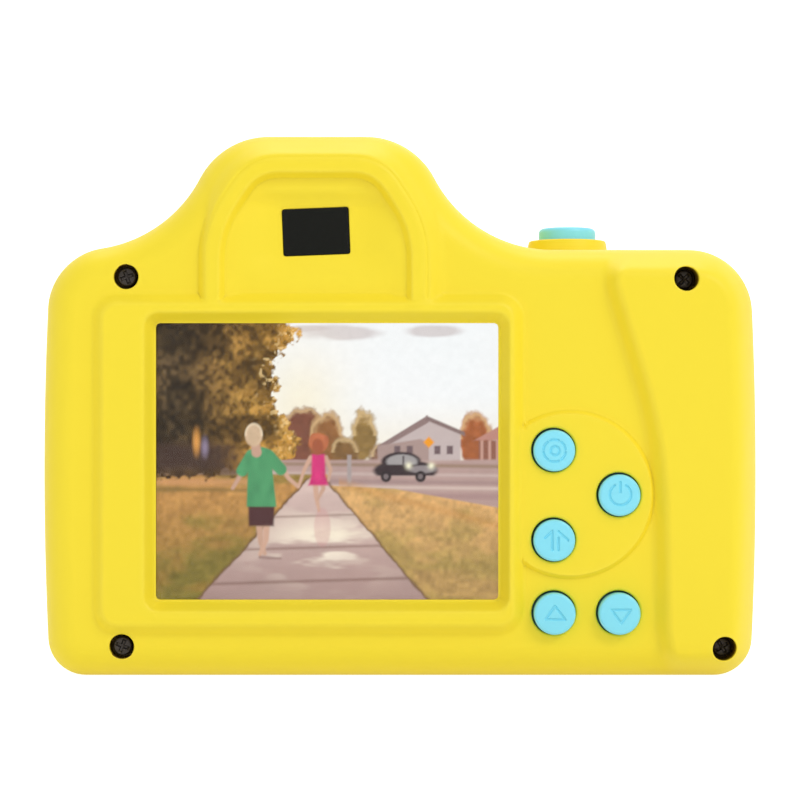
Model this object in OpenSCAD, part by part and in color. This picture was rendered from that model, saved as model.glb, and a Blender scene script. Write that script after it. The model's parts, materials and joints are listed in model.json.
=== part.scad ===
// Children's digital camera. Two moulded shells meet at a parting plane and are held by four screws.
// The rear shell carries the display, five keys and the eyepiece; the front shell carries the lens,
// the flash, the speaker and the cell. A hinged door on the side covers the two sockets.
// +X is to the right when looking at the display, +Y points out of the lens and +Z is up.
// The origin is the centre of the base.

/* [Case] */
// Width of the case at its widest
body_w = 74; // [74:0.5:77]
// Height from the base to the top of the hump
body_h = 56; // [55.5:0.5:58]
// Height of the flat shoulder beside the hump
shoulder_z = 44.25; // [44:0.25:45]
// Depth of the rear shell behind the parting plane
rear_depth = 11; // [11:0.5:12]
// Depth of the front shell in front of the parting plane
front_depth = 12; // [12:0.5:14]
// Wall thickness of both shells
wall = 1.8; // [1.7:0.05:1.9]
// Radius of the two lower corners
base_r = 4; // [3.8:0.1:5]
// Radius of the two shoulder corners
shoulder_r = 6.7; // [6:0.1:7.5]
// Radius of the slight bow in each side
side_r = 370; // [300:10:600]
// How far the rounded rim eats into the outline
rim_in = 3.6; // [3:0.1:3.7]
// How deep the rounded rim is
rim_depth = 4.5; // [4:0.1:5]

/* [Hump] */
// Distance of the hump's middle from the case's middle
hump_x = -8.6; // [-9:0.1:-8]
// Width of the flat on top of the hump
hump_flat = 10.1; // [9:0.1:11]
// Radius of the hump's two crowns
crown_r = 8.1; // [7.5:0.1:8.5]
// Radius of the hollow at each foot of the hump
foot_r = 13.8; // [13:0.1:14.5]

/* [Display] */
// Width of the picture area
picture_w = 35.04; // [34:0.02:36]
// Height of the picture area
picture_h = 28.3; // [27:0.1:29]
// Middle of the picture area across the case
picture_x = -7.46; // [-7.6:0.02:-7.2]
// Middle of the picture area above the base
picture_z = 22.32; // [22:0.02:22.6]
// How far the crest of the display surround stands proud
surround_h = 1.2; // [0.8:0.1:1.4]

/* [Keys] */
// Radius of a rear key
key_r = 2.12; // [2:0.02:2.16]
// Radius of the hole that a rear key slides in
key_hole_r = 2.27; // [2.25:0.01:2.3]
// Room that a rear key has to travel
key_travel = 0.4; // [0.3:0.05:0.45]
// How far a rear key stands proud of the rear face
key_proud = 1.2; // [0.9:0.1:1.4]
// Radius of the shutter button
shutter_r = 3.05; // [2.8:0.05:3.1]
// Room that the shutter button has to travel
shutter_travel = 0.6; // [0.4:0.05:0.6]
// Middle of the shutter button across the case
shutter_x = 17.9; // [17:0.05:18]

/* [Thumb rest] */
// How far the thumb rest stands proud of the rear face
thumb_h = 1.6; // [1.2:0.1:1.8]
// Edge of the thumb rest at its upper end
thumb_top_x = 21.3; // [21:0.1:22]
// Edge of the thumb rest at its lower end
thumb_low_x = 26.2; // [26:0.1:27]

/* [Lens] */
// Height of the lens axis above the base
lens_z = 23; // [22.5:0.1:23.5]
// How far the lens barrel reaches in front of the front face
lens_reach = 9; // [8:0.5:10]
// Outer radius of the lens barrel's collar
barrel_r = 14.4; // [14.2:0.1:14.8]
// How far the finger grip stands out of the front face
grip_h = 3.6; // [3:0.1:4.5]

/* [Hidden] */
round_fn = 64;

case_yellow = [0.97, 0.86, 0.16];
key_blue = [0.45, 0.82, 0.93];
black = [0.08, 0.08, 0.08];
steel = [0.72, 0.72, 0.74];
panel_gray = [0.2, 0.22, 0.25];
board_green = [0.05, 0.35, 0.18];
flex_amber = [0.72, 0.42, 0.12];
clear = [0.85, 0.93, 0.95, 0.4];

// Depth positions. The bounding box is centred on y = 0.
parting_y = (rear_depth + thumb_h - front_depth - lens_reach) / 2;
rear_y = parting_y - rear_depth;
front_y = parting_y + front_depth;
inner_front_y = front_y - wall;

// Case outline, as centres and angles of its arcs.
side_z = 21.3;
outside = 40;
side_cx = body_w / 2 - side_r;
base_cx = side_cx + sqrt(pow(side_r - base_r, 2) - pow(base_r - side_z, 2));
shoulder_cz = shoulder_z - shoulder_r;
shoulder_cx = side_cx + sqrt(pow(side_r - shoulder_r, 2) - pow(shoulder_cz - side_z, 2));
side_low = atan2(base_r - side_z, base_cx - side_cx);
side_high = atan2(shoulder_cz - side_z, shoulder_cx - side_cx);
crown_z = body_h - crown_r;
foot_z = shoulder_z + foot_r;
foot_dx = hump_flat / 2 + sqrt(pow(crown_r + foot_r, 2) - pow(foot_z - crown_z, 2));
crown_a = atan2(foot_z - crown_z, foot_dx - hump_flat / 2);
left_gap = shoulder_cx + hump_x - foot_dx;
left_cz = foot_z - sqrt(pow(shoulder_r + foot_r, 2) - pow(left_gap, 2));
left_a = atan2(foot_z - left_cz, left_gap);

// Screws: the four that close the case, with their heads sunk in counterbores.
screw_at = [[-28, 41.2], [29.1, 40.95], [-28.45, 3.4], [33, 3.3]];
head_r = 1.05;
counterbore_r = 1.27;
screw_r = 0.6;
screw_hole_r = 0.75;
pilot_r = 0.62;
pilot_end_y = 1.5;
seat_y = rear_y + 2.1;
head_t = 1.5;
recess = [0.7, 0.15, 0.5];
screw_len = 12;
boss_r = 2;
boss_end_y = parting_y - 1.1;

// Lip that locates one shell in the other.
lip_h = 1;
lip_in = 0.95;
lip_gap = 0.1;

// How far in each shell's flat floor starts, and how deep its straight wall starts.
floor_in = 3;
floor_d = 3.6;

// Display stack, as depths behind the rear face.
window_d = [0.6, 1.6];
window_margin = 1;
window_gap = 0.05;
funnel_d = 0.3;
funnel_box = [-29.8, 5.9, 11.1, 37.9];
crest_box = [-30.1, 5.6, 11.4, 38.2];
crest_foot = [-31.4, 4.1, 13.2, 39.6];
panel_d = [wall, 3];
backlight_d = [3, 4.2];
board_d = [7.5, 8.7];
module_box = [-30.8, 5.8, 12.2, 38.8];
board_rear_y = rear_y + board_d[0];
board_front_y = rear_y + board_d[1];
post_at = [[-20, 41.5], [3, 41.5], [28.2, 28.5], [28.2, 12.3]];
post_r = 1.4;
post_hole_d = 4;
rib_d = 4.2;
rib_boxes = [[-31.7, 38.95, 9, 39.75], [-26, 4.8, 9, 5.65], [-31.75, 9, -30.95, 15], [-31.75, 30, -30.95, 36]];
frame_floor = 0.6;
frame_walls = [1.2, 6];
display_flex_r = 1.3;
display_flex_w = 12;
flex_t = 0.16;
board_outline = [[-25.5, 3.6], [30, 3.6], [30, 38.4], [5.5, 38.4], [5.5, 43.6], [-22.5, 43.6],
    [-22.5, 38.4], [-33, 38.4], [-33, 6], [-25.5, 6]];
board_hole_r = 0.7;
// Chips on the board, as corners and heights.
chips = [[-16, 26, -8, 34, 1], [-5, 27, 1, 32, 0.9], [-18, 17, -14.8, 22, 1], [3, 8, 6.5, 11.5, 1.6],
    [-3, 6, -1, 9, 0.8]];

// Rear keys, in the order menu, power, playback, up, down.
key_at = [[15.65, 23.5], [22.3, 18.95], [15.65, 14.35], [15.7, 6.87], [22.3, 6.87]];
disc_at = [17.4, 18.95];
disc_r = 8.44;
disc_h = 0.35;
flange_r = 2.9;
flange_d = [wall + 0.05, 2.5];
switch_w = 4.5;
switch_d = 4.2;
switch_cover_t = 0.25;
plunger_r = 0.8;
plunger_hole_r = 0.9;
plunger_in = 0.5;
travel_spare = 0.1;
cap_edge = 0.25;

// Eyepiece arch.
arch_w = 23.5;
arch_top = 53.4;
arch_r = 6.6;
arch_band = 1.7;
arch_h = 1.3;
arch_foot = 39;
eye_at = [hump_x, 45.85];
eye_size = [6.8, 4.9];
eye_skew = 2;
eye_d = [0.5, 1.3];
eye_gap = 0.3;

// Shutter button over the flat shoulder.
collar_z = shoulder_z + 1.35;
collar_r = 4.35;
collar_bore_r = shutter_r + 0.15;
collar_neck_r = 3.7;
collar_foot_r = 4.6;
collar_foot_z = 41.6;
collar_edge = 0.3;
shutter_top = collar_z + 1.4;
shutter_flange = [3.6, 40.9, 41.5];
shutter_stem_r = 1.5;
shutter_tip_z = 40;
shutter_plunger_z = 37.9;
shutter_switch_box = [2.25, 34.9, 38.4, 4.6];

// Door over the sockets, on the side at -X. It turns about a pin along Y.
door_z = [7.3, 31];
door_half_w = 3.7;
door_x = [-36.7, -35.3];
hinge_r = 0.9;
hinge_at = [door_x[0] + hinge_r, door_z[0] + hinge_r];
door_gap = 0.15;
door_floor_gap = 0.3;
pin_r = 0.4;
pin_half = 4.8;
pin_gap = 0.05;
notch = [1.8, 1.6];
notch_x = -36.1;
// Sockets: reach along x, thickness off the board, half height, and the sheet's thickness.
usb_z = 26;
usb = [-35, -29.6, 2.7, 3.8, 0.4];
card_z = 15.5;
card = [-34.9, -21, 1.7, 6, 0.4];
slot_x = [-36, -33];
slot_gap = [0.1, 0.2];

// Strap bar, in a pocket on the side at +X.
strap_z = 33.5;
strap_x = 35.6;
strap_r = 0.7;
strap_half = 3.5;
strap_half_w = 2.5;
strap_floor_x = 33.9;

// Thickening inside the shells: around the door and around the strap pocket.
pad_y = 5.2;
door_pad = [-35.6, 5.7, -33.5, 33];
strap_pad = [32.7, strap_z - 3.7, 35.8, strap_z + 3.7];

// Lens, camera module and flash.
lens_x = hump_x;
mouth_y = front_y + lens_reach;
collar_y = front_y + 3;
lens_boss_r = 15.6;
barrel_bore_r = 11.6;
barrel_neck_r = 12.5;
barrel_foot = [13.2, 5.1, 5.9];
barrel_lip_r = 10.8;
barrel_edge = 0.8;
lens_hole_r = 12.6;
cover_r = 11.5;
cover_t = 1;
cone_y = 7.2;
cone_r = [4.4, 5.4, 10.6, 10.9];
camera_post_dx = 15.2;
camera_post_r = 1.5;
camera_y = [0.4, 1.4, 2.2, 5.5, 9.6];
sensor_half = 5;
holder_half = 4.5;
holder_r = 3.9;
objective_r = 2.6;
objective_y = [8.6, 9.2, 9.8];
aperture_r = 1.6;
bracket_half = [16.9, 4];
flash_at = [hump_x, 47.5];
flash_hole = [4.7, 2.7];
flash_pane = [4.6, 2.6];
flash_flange = [5.5, 3.4];
flash_plate = [5, 3.2];
flash_chip = [1.7, 1.4];
flash_y = [1.4, 2.2, 3.1, 5, 6];
reflector_mouth = [4, 2];
reflector_floor = [2, 1.6];
speaker_at = [-29.2, 15.5];
speaker_r = 4.6;
speaker_y = [3.2, 4.4, 5.9];
speaker_magnet_r = 3;
grille_r = 0.55;
grille_pitch = 2;
mic_at = [12, 38.4];
mic_r = 2;
mic_y = 4.4;
mic_hole_r = 0.5;
grip_box = [21, 5, 33, 38.5];
grip_corner = 5.5;

// Cell, its pad, the ribs beside it and its leads.
cell_lo = [9.2, -1.4, 5.3];
cell_hi = [29, 3.6, 33.5];
cell_pad = [11, 9, 27, 30, 2.2];
cell_rib_x = [14, 27];
cell_rib_y = 1;
cell_rib_z = [[4.2, 5], [34, 34.8]];
lead_r = 0.45;
lead_turn = 2;
lead_stub = 0.4;
lead_y = 1.1;

// ---- Shared shapes ----

// Prism along Y of a shape drawn in X and Z.
module slab(y0, y1) translate([0, y1, 0]) rotate([90, 0, 0]) linear_extrude(y1 - y0) children();

// Round bar along Y.
module rod(at, y0, y1, r) translate([at[0], y0, at[1]]) rotate([-90, 0, 0])
    cylinder(r = r, h = y1 - y0, $fn = round_fn);

// Solid of revolution about a Y axis, from a profile of [radius, y] points.
module turned(at, profile) translate([at[0], 0, at[1]]) rotate([-90, 0, 0])
    rotate_extrude($fn = round_fn) polygon(profile);

// Block between two corners.
module block(lo, hi) translate(lo) cube(hi - lo);

function arc(c, r, a0, a1, n, ends = 1) =
    [for (i = [0:n - 1 + ends]) let (a = a0 + (a1 - a0) * i / n) c + r * [cos(a), sin(a)]];

// The right side of the case outline, set in by d, from the base to the shoulder.
function right_side(d) = concat(
    arc([base_cx, base_r], base_r - d, -90, side_low, 6, 0),
    arc([side_cx, side_z], side_r - d, side_low, side_high, 4, 0),
    arc([shoulder_cx, shoulder_cz], shoulder_r - d, side_high, 90, 6));

// The whole case outline, set in by d.
function outline(d) = concat(
    right_side(d),
    arc([hump_x + foot_dx, foot_z], foot_r + d, -90, crown_a - 180, 6, 0),
    arc([hump_x + hump_flat / 2, crown_z], crown_r - d, crown_a, 90, 6),
    arc([hump_x - hump_flat / 2, crown_z], crown_r - d, 90, 180 - crown_a, 6, 0),
    arc([hump_x - foot_dx, foot_z], foot_r + d, -crown_a, left_a - 180, 6, 0),
    arc([-shoulder_cx, left_cz], shoulder_r - d, left_a, 180 - side_high, 6, 0),
    arc([-side_cx, side_z], side_r - d, 180 - side_high, 180 - side_low, 4, 0),
    arc([-base_cx, base_r], base_r - d, 180 - side_low, 270, 6));

function middle(points) = [for (p = points) 1] * points / len(points);

// Closed skin through rings of equal length, the first one furthest towards +Y. Fans close its ends.
module loft(rings) {
    n = len(rings[0]);
    m = len(rings);
    points = concat([for (ring = rings) each ring], [middle(rings[0]), middle(rings[m - 1])]);
    sides = [for (j = [0:m - 2]) for (i = [0:n - 1]) let (k = (i + 1) % n)
        [j * n + i, (j + 1) * n + i, (j + 1) * n + k, j * n + k]];
    ends = [for (i = [0:n - 1]) let (k = (i + 1) % n)
        each [[i, k, m * n], [(m - 1) * n + k, (m - 1) * n + i, m * n + 1]]];
    polyhedron(points, concat(sides, ends));
}

function ring(points, y) = [for (p = points) [p[0], y, p[1]]];
function box_points(b) = [[b[0], b[1]], [b[2], b[1]], [b[2], b[3]], [b[0], b[3]]];
function grown(b, d) = [b[0] - d, b[1] - d, b[2] + d, b[3] + d];
function reversed(list) = [for (i = [len(list) - 1:-1:0]) list[i]];

// Tapered block between a rectangle at y0 and one at y1, with y0 over y1.
module taper(box0, y0, box1, y1) loft([ring(box_points(box0), y0), ring(box_points(box1), y1)]);

// Strip of thickness t along a path of 2D points.
function ribbon(path, t) = let (
    n = len(path) - 1,
    way = [for (i = [0:n]) let (v = path[min(i + 1, n)] - path[max(i - 1, 0)]) v / norm(v)],
    side = [for (v = way) [-v[1], v[0]] * t / 2])
    concat([for (i = [0:n]) path[i] + side[i]], [for (i = [n:-1:0]) path[i] - side[i]]);

picture_box = [picture_x - picture_w / 2, picture_z - picture_h / 2,
    picture_x + picture_w / 2, picture_z + picture_h / 2];

// ---- Rear shell ----

// The rounded rim of a shell, as rings from the flat side wall almost to the outer face, which is a slab.
function rim_rings(face_y, sign) = [for (i = [0:5]) let (t = 84 * i / 5)
    ring(outline(rim_in * (1 - cos(t))), face_y + sign * rim_depth * (1 - sin(t)))];

// Edge of the thumb rest: a smooth sweep from its upper to its lower place.
function ease(t) = let (u = max(0, min(1, t))) u * u * (3 - 2 * u);
function thumb_edge(z) = thumb_top_x + (thumb_low_x - thumb_top_x) * ease((39.5 - z) / 22.5);

function thumb_ring(d, shift) = concat(
    [for (i = [0:12]) let (z = shoulder_z - d - (shoulder_z - 2 * d) * i / 12) [thumb_edge(z) + shift, z]],
    right_side(d));

// Arch outline: straight legs and two rounded upper corners.
function arch(inset) = let (w = arch_w / 2 - inset, r = arch_r - inset, top = arch_top - inset) concat(
    [[hump_x - w, arch_foot], [hump_x + w, arch_foot]],
    arc([hump_x + w - r, top - r], r, 0, 90, 6),
    arc([hump_x - w + r, top - r], r, 90, 180, 6));

module rear_skin() {
    loft(concat([ring(outline(0), parting_y)], rim_rings(rear_y, 1)));
    slab(rear_y, rear_y + 1) polygon(outline(rim_in));
    // Display surround: a crest around the picture, highest along its own edge.
    taper(crest_foot, rear_y + 0.5, crest_box, rear_y - surround_h);
    loft([ring(thumb_ring(rim_in - 0.5, 0), rear_y + 0.2), ring(thumb_ring(rim_in, 1.3), rear_y - thumb_h)]);
    rod(disc_at, rear_y - disc_h, rear_y + 0.5, disc_r);
    slab(rear_y - arch_h, rear_y + 0.3) polygon(arch(0));
}

// Block of depth y0 to y1 over a rectangle in X and Z.
module box_slab(b, y0, y1) slab(y0, y1) polygon(box_points(b));

// Rectangle about a middle, from its half sizes.
function about(at, half) = [at[0] - half[0], at[1] - half[1], at[0] + half[0], at[1] + half[1]];

// Round bar along Z, in line with the shutter button.
module shutter_rod(r, z0, z1) translate([shutter_x, parting_y, z0]) cylinder(r = r, h = z1 - z0, $fn = round_fn);

// Opening in the case for a socket at height z.
module socket_slot(z, socket) box_slab(
    [slot_x[0], z - socket[3] - slot_gap[1], slot_x[1], z + socket[3] + slot_gap[1]],
    board_front_y - slot_gap[0], board_front_y + socket[2] + slot_gap[0]);

// What both shells give up for the side pocket, the side door and the shutter collar.
module side_cuts() {
    door_w = door_half_w + door_gap;
    box_slab([-outside, door_z[0] - door_floor_gap, door_x[1] + door_gap, door_z[1] + door_gap],
        parting_y - door_w, parting_y + door_w);
    rod(hinge_at, parting_y - door_w, parting_y + door_w, hinge_r + door_gap);
    rod(hinge_at, parting_y - pin_half - slot_gap[0], parting_y + pin_half + slot_gap[0], pin_r);
    box_slab([-outside, door_z[1], notch_x, door_z[1] + notch[1]], parting_y - notch[0], parting_y + notch[0]);
    socket_slot(usb_z, usb);
    socket_slot(card_z, card);
    box_slab([strap_floor_x, strap_z - strap_half_w, outside, strap_z + strap_half_w],
        parting_y - strap_half_w, parting_y + strap_half_w);
    rod([strap_x, strap_z], parting_y - strap_half - slot_gap[0], parting_y + strap_half + slot_gap[0], strap_r);
    shutter_rod(collar_neck_r + 0.05, shoulder_z - 6, shoulder_z + 2);
    shutter_rod(collar_foot_r + 0.2, collar_foot_z - 2, shoulder_z - wall);
    shutter_rod(collar_r + 0.05, shoulder_z, shoulder_z + 3);
}

// Thickening inside a shell around the door and the strap pocket.
module side_pads(y0, y1, grow = 0) for (pad = [door_pad, strap_pad]) box_slab(grown(pad, grow), y0, y1);

module rear_shell() color(case_yellow) difference() {
    union() {
        difference() {
            rear_skin();
            slab(rear_y + wall, parting_y - 0.01) polygon(outline(floor_in));
            slab(rear_y + floor_d, parting_y + 1) polygon(outline(wall));
            slab(boss_end_y, parting_y + 1) polygon(outline(lip_in - lip_gap));
        }
        for (at = screw_at) rod(at, rear_y + wall - 0.1, boss_end_y, boss_r + 0.1);
        for (at = post_at) rod(at, rear_y + wall - 0.1, board_rear_y, post_r);
        // Ribs that locate the display.
        for (rib = rib_boxes) box_slab(rib, rear_y + wall - 0.1, rear_y + rib_d);
        side_pads(parting_y - pad_y, parting_y);
    }
    side_cuts();
    // Funnel down to the picture, the opening, and the pocket for the window.
    taper(grown(picture_box, window_gap), rear_y + funnel_d, funnel_box, rear_y - surround_h - 0.01);
    box_slab(picture_box, rear_y + funnel_d - 0.1, rear_y + wall + 0.2);
    box_slab(grown(picture_box, window_margin + window_gap), rear_y + window_d[0], rear_y + wall + 0.2);
    // Eyepiece: shallow recess inside the arch, and the pocket for the dark pane.
    slab(rear_y - arch_h - 1, rear_y + 0.3) polygon(arch(arch_band));
    box_slab(about(eye_at, [eye_size[0] / 2 + eye_gap, eye_size[1] / 2 + eye_gap]), rear_y, rear_y + eye_d[1]);
    for (at = key_at) rod(at, rear_y - 3, rear_y + wall + 0.2, key_hole_r);
    for (at = screw_at) {
        rod(at, rear_y - 3, seat_y, counterbore_r);
        rod(at, seat_y - 0.1, parting_y, screw_hole_r);
    }
    for (at = post_at) rod(at, board_rear_y - post_hole_d, board_rear_y + 0.1, pilot_r);
}

// ---- Front shell ----

// Outline of a box with rounded corners.
function plate(b, r) = concat(
    arc([b[2] - r, b[1] + r], r, -90, 0, 4), arc([b[2] - r, b[3] - r], r, 0, 90, 4),
    arc([b[0] + r, b[3] - r], r, 90, 180, 4), arc([b[0] + r, b[1] + r], r, 180, 270, 4));

// Finger grip: domed plate on the front face, set in by d all round.
function grip_ring(d, y) = ring(plate(grown(grip_box, -d), grip_corner - d), y);
module grip(d) loft(concat(
    [for (i = [3:-1:0]) let (t = 90 * i / 3)
        grip_ring(d + (grip_corner - d - 0.5) * (1 - cos(t)), front_y + (grip_h - d) * sin(t))],
    [grip_ring(d, inner_front_y - 0.1 + (d == 0 ? 0.6 : 0))]));

module front_shell() color(case_yellow) difference() {
    union() {
        difference() {
            union() {
                loft(concat(reversed(rim_rings(front_y, -1)), [ring(outline(0), parting_y)]));
                slab(front_y - 1, front_y) polygon(outline(rim_in));
                rod([lens_x, lens_z], front_y - 1, collar_y, lens_boss_r);
                grip(0);
            }
            slab(parting_y - 1, front_y - floor_d) polygon(outline(wall));
            slab(parting_y, inner_front_y) polygon(outline(floor_in));
            grip(wall);
        }
        // Lip that enters the rear shell.
        difference() {
            slab(parting_y - lip_h, parting_y + 0.5) polygon(outline(lip_in));
            slab(parting_y - lip_h - 1, parting_y + 1) polygon(outline(wall));
            side_pads(parting_y - 3, parting_y, 0.1);
        }
        for (at = screw_at) rod(at, boss_end_y + 0.05, front_y - 2, boss_r);
        for (dx = [-camera_post_dx, camera_post_dx])
            rod([lens_x + dx, lens_z], camera_y[1], inner_front_y + 0.1, camera_post_r);
        difference() {
            rod(speaker_at, speaker_y[1] + 0.1, inner_front_y + 0.1, speaker_r + 0.6);
            rod(speaker_at, speaker_y[1] - 0.4, inner_front_y + 0.2, speaker_r + 0.1);
        }
        // Ribs beside the cell.
        for (z = cell_rib_z)
            box_slab([cell_rib_x[0], z[0], cell_rib_x[1], z[1]], cell_rib_y, inner_front_y + 0.1);
        side_pads(parting_y, parting_y + pad_y);
    }
    side_cuts();
    rod([lens_x, lens_z], 0, collar_y + 1, lens_hole_r);
    box_slab(about(flash_at, flash_hole), inner_front_y - 1, front_y + 1);
    for (at = screw_at) rod(at, boss_end_y - 1, pilot_end_y, pilot_r);
    for (dx = [-camera_post_dx, camera_post_dx])
        rod([lens_x + dx, lens_z], camera_y[1] - 0.4, inner_front_y - 0.6, pilot_r);
    for (i = [0:6]) rod(speaker_at + (i == 0 ? [0, 0] : grille_pitch * [cos(60 * i), sin(60 * i)]),
        inner_front_y - 1, front_y + 1, grille_r);
    rod(mic_at, inner_front_y - 1, front_y + 1, mic_hole_r);
}

// ---- Display and eyepiece ----

module screen_window() color(clear)
    box_slab(grown(picture_box, window_margin), rear_y + window_d[0], rear_y + window_d[1]);

module screen_gasket() color(black) difference() {
    box_slab(grown(picture_box, window_margin), rear_y + window_d[1], rear_y + panel_d[0]);
    box_slab(grown(picture_box, 0.1), rear_y, rear_y + panel_d[1]);
}

module display_panel() color(panel_gray) box_slab(module_box, rear_y + panel_d[0], rear_y + panel_d[1]);

module display_backlight() color("white")
    box_slab(module_box, rear_y + backlight_d[0], rear_y + backlight_d[1]);

module display_frame() color("whitesmoke") difference() {
    box_slab(module_box, rear_y + backlight_d[1], board_rear_y);
    box_slab(grown(module_box, -frame_walls[0]), rear_y + backlight_d[1] + frame_floor, board_rear_y + 1);
    box_slab(grown(module_box, -frame_walls[1]), rear_y, board_rear_y);
}

// Folded film from the backlight's edge to the connector.
module display_flex() color(flex_amber) {
    start_y = rear_y + backlight_d[1] - 0.3;
    bend_x = module_box[0] - 1.2;
    translate([0, 0, picture_z - display_flex_w / 2]) linear_extrude(display_flex_w)
        polygon(ribbon(concat([[module_box[0], start_y], [bend_x + 0.2, start_y]],
            arc([bend_x, start_y + display_flex_r], display_flex_r, 270, 90, 8),
            [[bend_x + 0.1, start_y + 2 * display_flex_r]]), flex_t));
}

module display_connector() color("whitesmoke")
    box_slab([-31.9, picture_z - display_flex_w / 2 - 0.8, -31, picture_z + display_flex_w / 2 + 0.8],
        board_rear_y - 1.3, board_rear_y);

module eyepiece_window() color(black) translate([eye_at[0], 0, eye_at[1]]) rotate([0, -eye_skew, 0])
    slab(rear_y + eye_d[0], rear_y + eye_d[1]) square(eye_size, center = true);

// ---- Board and switches ----

module main_board() color(board_green) difference() {
    slab(board_rear_y, board_front_y) polygon(board_outline);
    for (at = post_at) rod(at, board_rear_y - 1, board_front_y + 1, board_hole_r);
}

module board_chips() color(black) for (chip = chips) box_slab(chip, board_front_y, board_front_y + chip[4]);

// Half of a tact switch, from depth d0 to d1, with the bore for the plunger down to depth d2.
module switch_half(at, d0, d1, d2) difference() {
    box_slab(about(at, [switch_w / 2, switch_w / 2]), rear_y + d0, rear_y + d1);
    rod(at, rear_y, rear_y + d2, plunger_hole_r);
}

module switch_bases() color(black) for (at = key_at) switch_half(at, switch_d + switch_cover_t, board_d[0],
    switch_d + plunger_in + key_travel + travel_spare);

module switch_covers() color(steel) for (at = key_at) switch_half(at, switch_d, switch_d + switch_cover_t,
    switch_d + 1);

module key_plunger(i) color("dimgray")
    rod(key_at[i], rear_y + flange_d[1], rear_y + switch_d + plunger_in, plunger_r);

module shutter_switch() color(black) difference() {
    box_slab([shutter_x - shutter_switch_box[0], shutter_switch_box[1], shutter_x + shutter_switch_box[0],
        shutter_switch_box[2]], board_front_y, board_front_y + shutter_switch_box[3]);
    shutter_rod(plunger_hole_r, shutter_plunger_z - shutter_travel - travel_spare, shutter_switch_box[2] + 1);
}

module shutter_plunger() color("dimgray") shutter_rod(plunger_r, shutter_plunger_z, shutter_tip_z);

// Sheet metal socket at height z, open towards -X.
module socket(z, size) difference() {
    box_slab([size[0], z - size[3], size[1], z + size[3]], board_front_y, board_front_y + size[2]);
    box_slab([size[0] - 1, z - size[3] + size[4], size[1] - 1, z + size[3] - size[4]],
        board_front_y + size[4], board_front_y + size[2] - size[4]);
}

module usb_socket() color(steel) socket(usb_z, usb);
module card_socket() color(steel) socket(card_z, card);

// ---- Power, sound ----

module battery() color("silver") block(cell_lo, cell_hi);

module battery_pad() color(black) box_slab(cell_pad, cell_hi[1], cell_hi[1] + cell_pad[4]);

// Lead from the top of the cell, over to the front of the board.
module battery_lead(x) {
    bend_z = cell_hi[2] + lead_stub;
    translate([x, lead_y, cell_hi[2]]) cylinder(r = lead_r, h = lead_stub, $fn = 24);
    translate([x, lead_y - lead_turn, bend_z]) rotate([0, -90, 0]) rotate([0, 0, 90])
        rotate_extrude(angle = -90, $fn = 24) translate([lead_turn, 0]) circle(r = lead_r, $fn = 24);
    rod([x, bend_z + lead_turn], board_front_y, lead_y - lead_turn, lead_r);
}

module battery_lead_red() color("red") battery_lead(12.5);
module battery_lead_black() color(black) battery_lead(10.5);

module speaker() color(black) {
    y = speaker_y;
    turned(speaker_at, [[0, y[0]], [speaker_magnet_r, y[0]], [speaker_magnet_r, y[1]], [speaker_r, y[1]],
        [speaker_r, y[2]], [0, y[2]]]);
}

module speaker_leads() color("red")
    for (dz = [-1, 1]) rod(speaker_at + [1.5, dz], board_front_y + 1.8, speaker_y[0], 0.4);

module microphone() color(steel) rod(mic_at, mic_y, inner_front_y, mic_r);

// ---- Camera module, lens and flash ----

lens_at = [lens_x, lens_z];

module sensor_board() color(board_green)
    box_slab(about(lens_at, [sensor_half, sensor_half]), camera_y[1], camera_y[2]);

module lens_holder() color(black) difference() {
    union() {
        box_slab(about(lens_at, [holder_half, holder_half]), camera_y[2], camera_y[3]);
        rod(lens_at, camera_y[3] - 0.1, camera_y[4], holder_r);
    }
    rod(lens_at, objective_y[0], camera_y[4] + 1, objective_r);
    rod(lens_at, camera_y[2] - 0.1, objective_y[0] + 0.1, aperture_r);
}

module objective_lens() color(clear) {
    dome = objective_y[2] - objective_y[1];
    turned(lens_at, concat([[0, objective_y[0]], [objective_r, objective_y[0]], [objective_r, objective_y[1]]],
        [for (a = [20:10:90]) [objective_r * cos(a), objective_y[1] + dome * sin(a)]]));
}

module camera_bracket() color(black) difference() {
    box_slab(about(lens_at, bracket_half), camera_y[0], camera_y[1]);
    for (dx = [-camera_post_dx, camera_post_dx]) rod(lens_at + [dx, 0], 0, camera_y[2], board_hole_r);
}

module camera_bracket_screws() color(steel) for (dx = [-camera_post_dx, camera_post_dx]) {
    rod(lens_at + [dx, 0], camera_y[0] - 0.8, camera_y[0], 1.2);
    rod(lens_at + [dx, 0], camera_y[0], 5, screw_r);
}

module camera_flex() color(flex_amber) translate([lens_x - 3, 0, 0]) rotate([90, 0, 90]) linear_extrude(6)
    polygon(ribbon(concat([[1.28, lens_z - 4.3], [1.28, 15.6]], arc([-0.72, 15.5], 2, 0, -90, 6),
        [[board_front_y, 13.5]]), flex_t));

module lens_barrel() color(key_blue) turned(lens_at, [
    [barrel_bore_r, barrel_foot[1]], [barrel_foot[0], barrel_foot[1]], [barrel_foot[0], barrel_foot[2]],
    [barrel_neck_r, barrel_foot[2]], [barrel_neck_r, collar_y], [barrel_r, collar_y],
    [barrel_r, mouth_y - barrel_edge], [barrel_r - barrel_edge, mouth_y], [barrel_lip_r, mouth_y],
    [barrel_lip_r, mouth_y - barrel_edge], [barrel_bore_r, mouth_y - barrel_edge]]);

module lens_cone() color(black) {
    top_y = mouth_y - barrel_edge - cover_t;
    turned(lens_at, [
        [cover_r, cone_y], [cover_r, top_y], [cone_r[3], top_y], [cone_r[3], top_y - 0.8],
        [cone_r[0], cone_y + 1.6], [cone_r[0], cone_y], [cone_r[1], cone_y], [cone_r[1], cone_y + 1.2],
        [cone_r[2], top_y - 2.2], [cone_r[2], cone_y]]);
}

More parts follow.
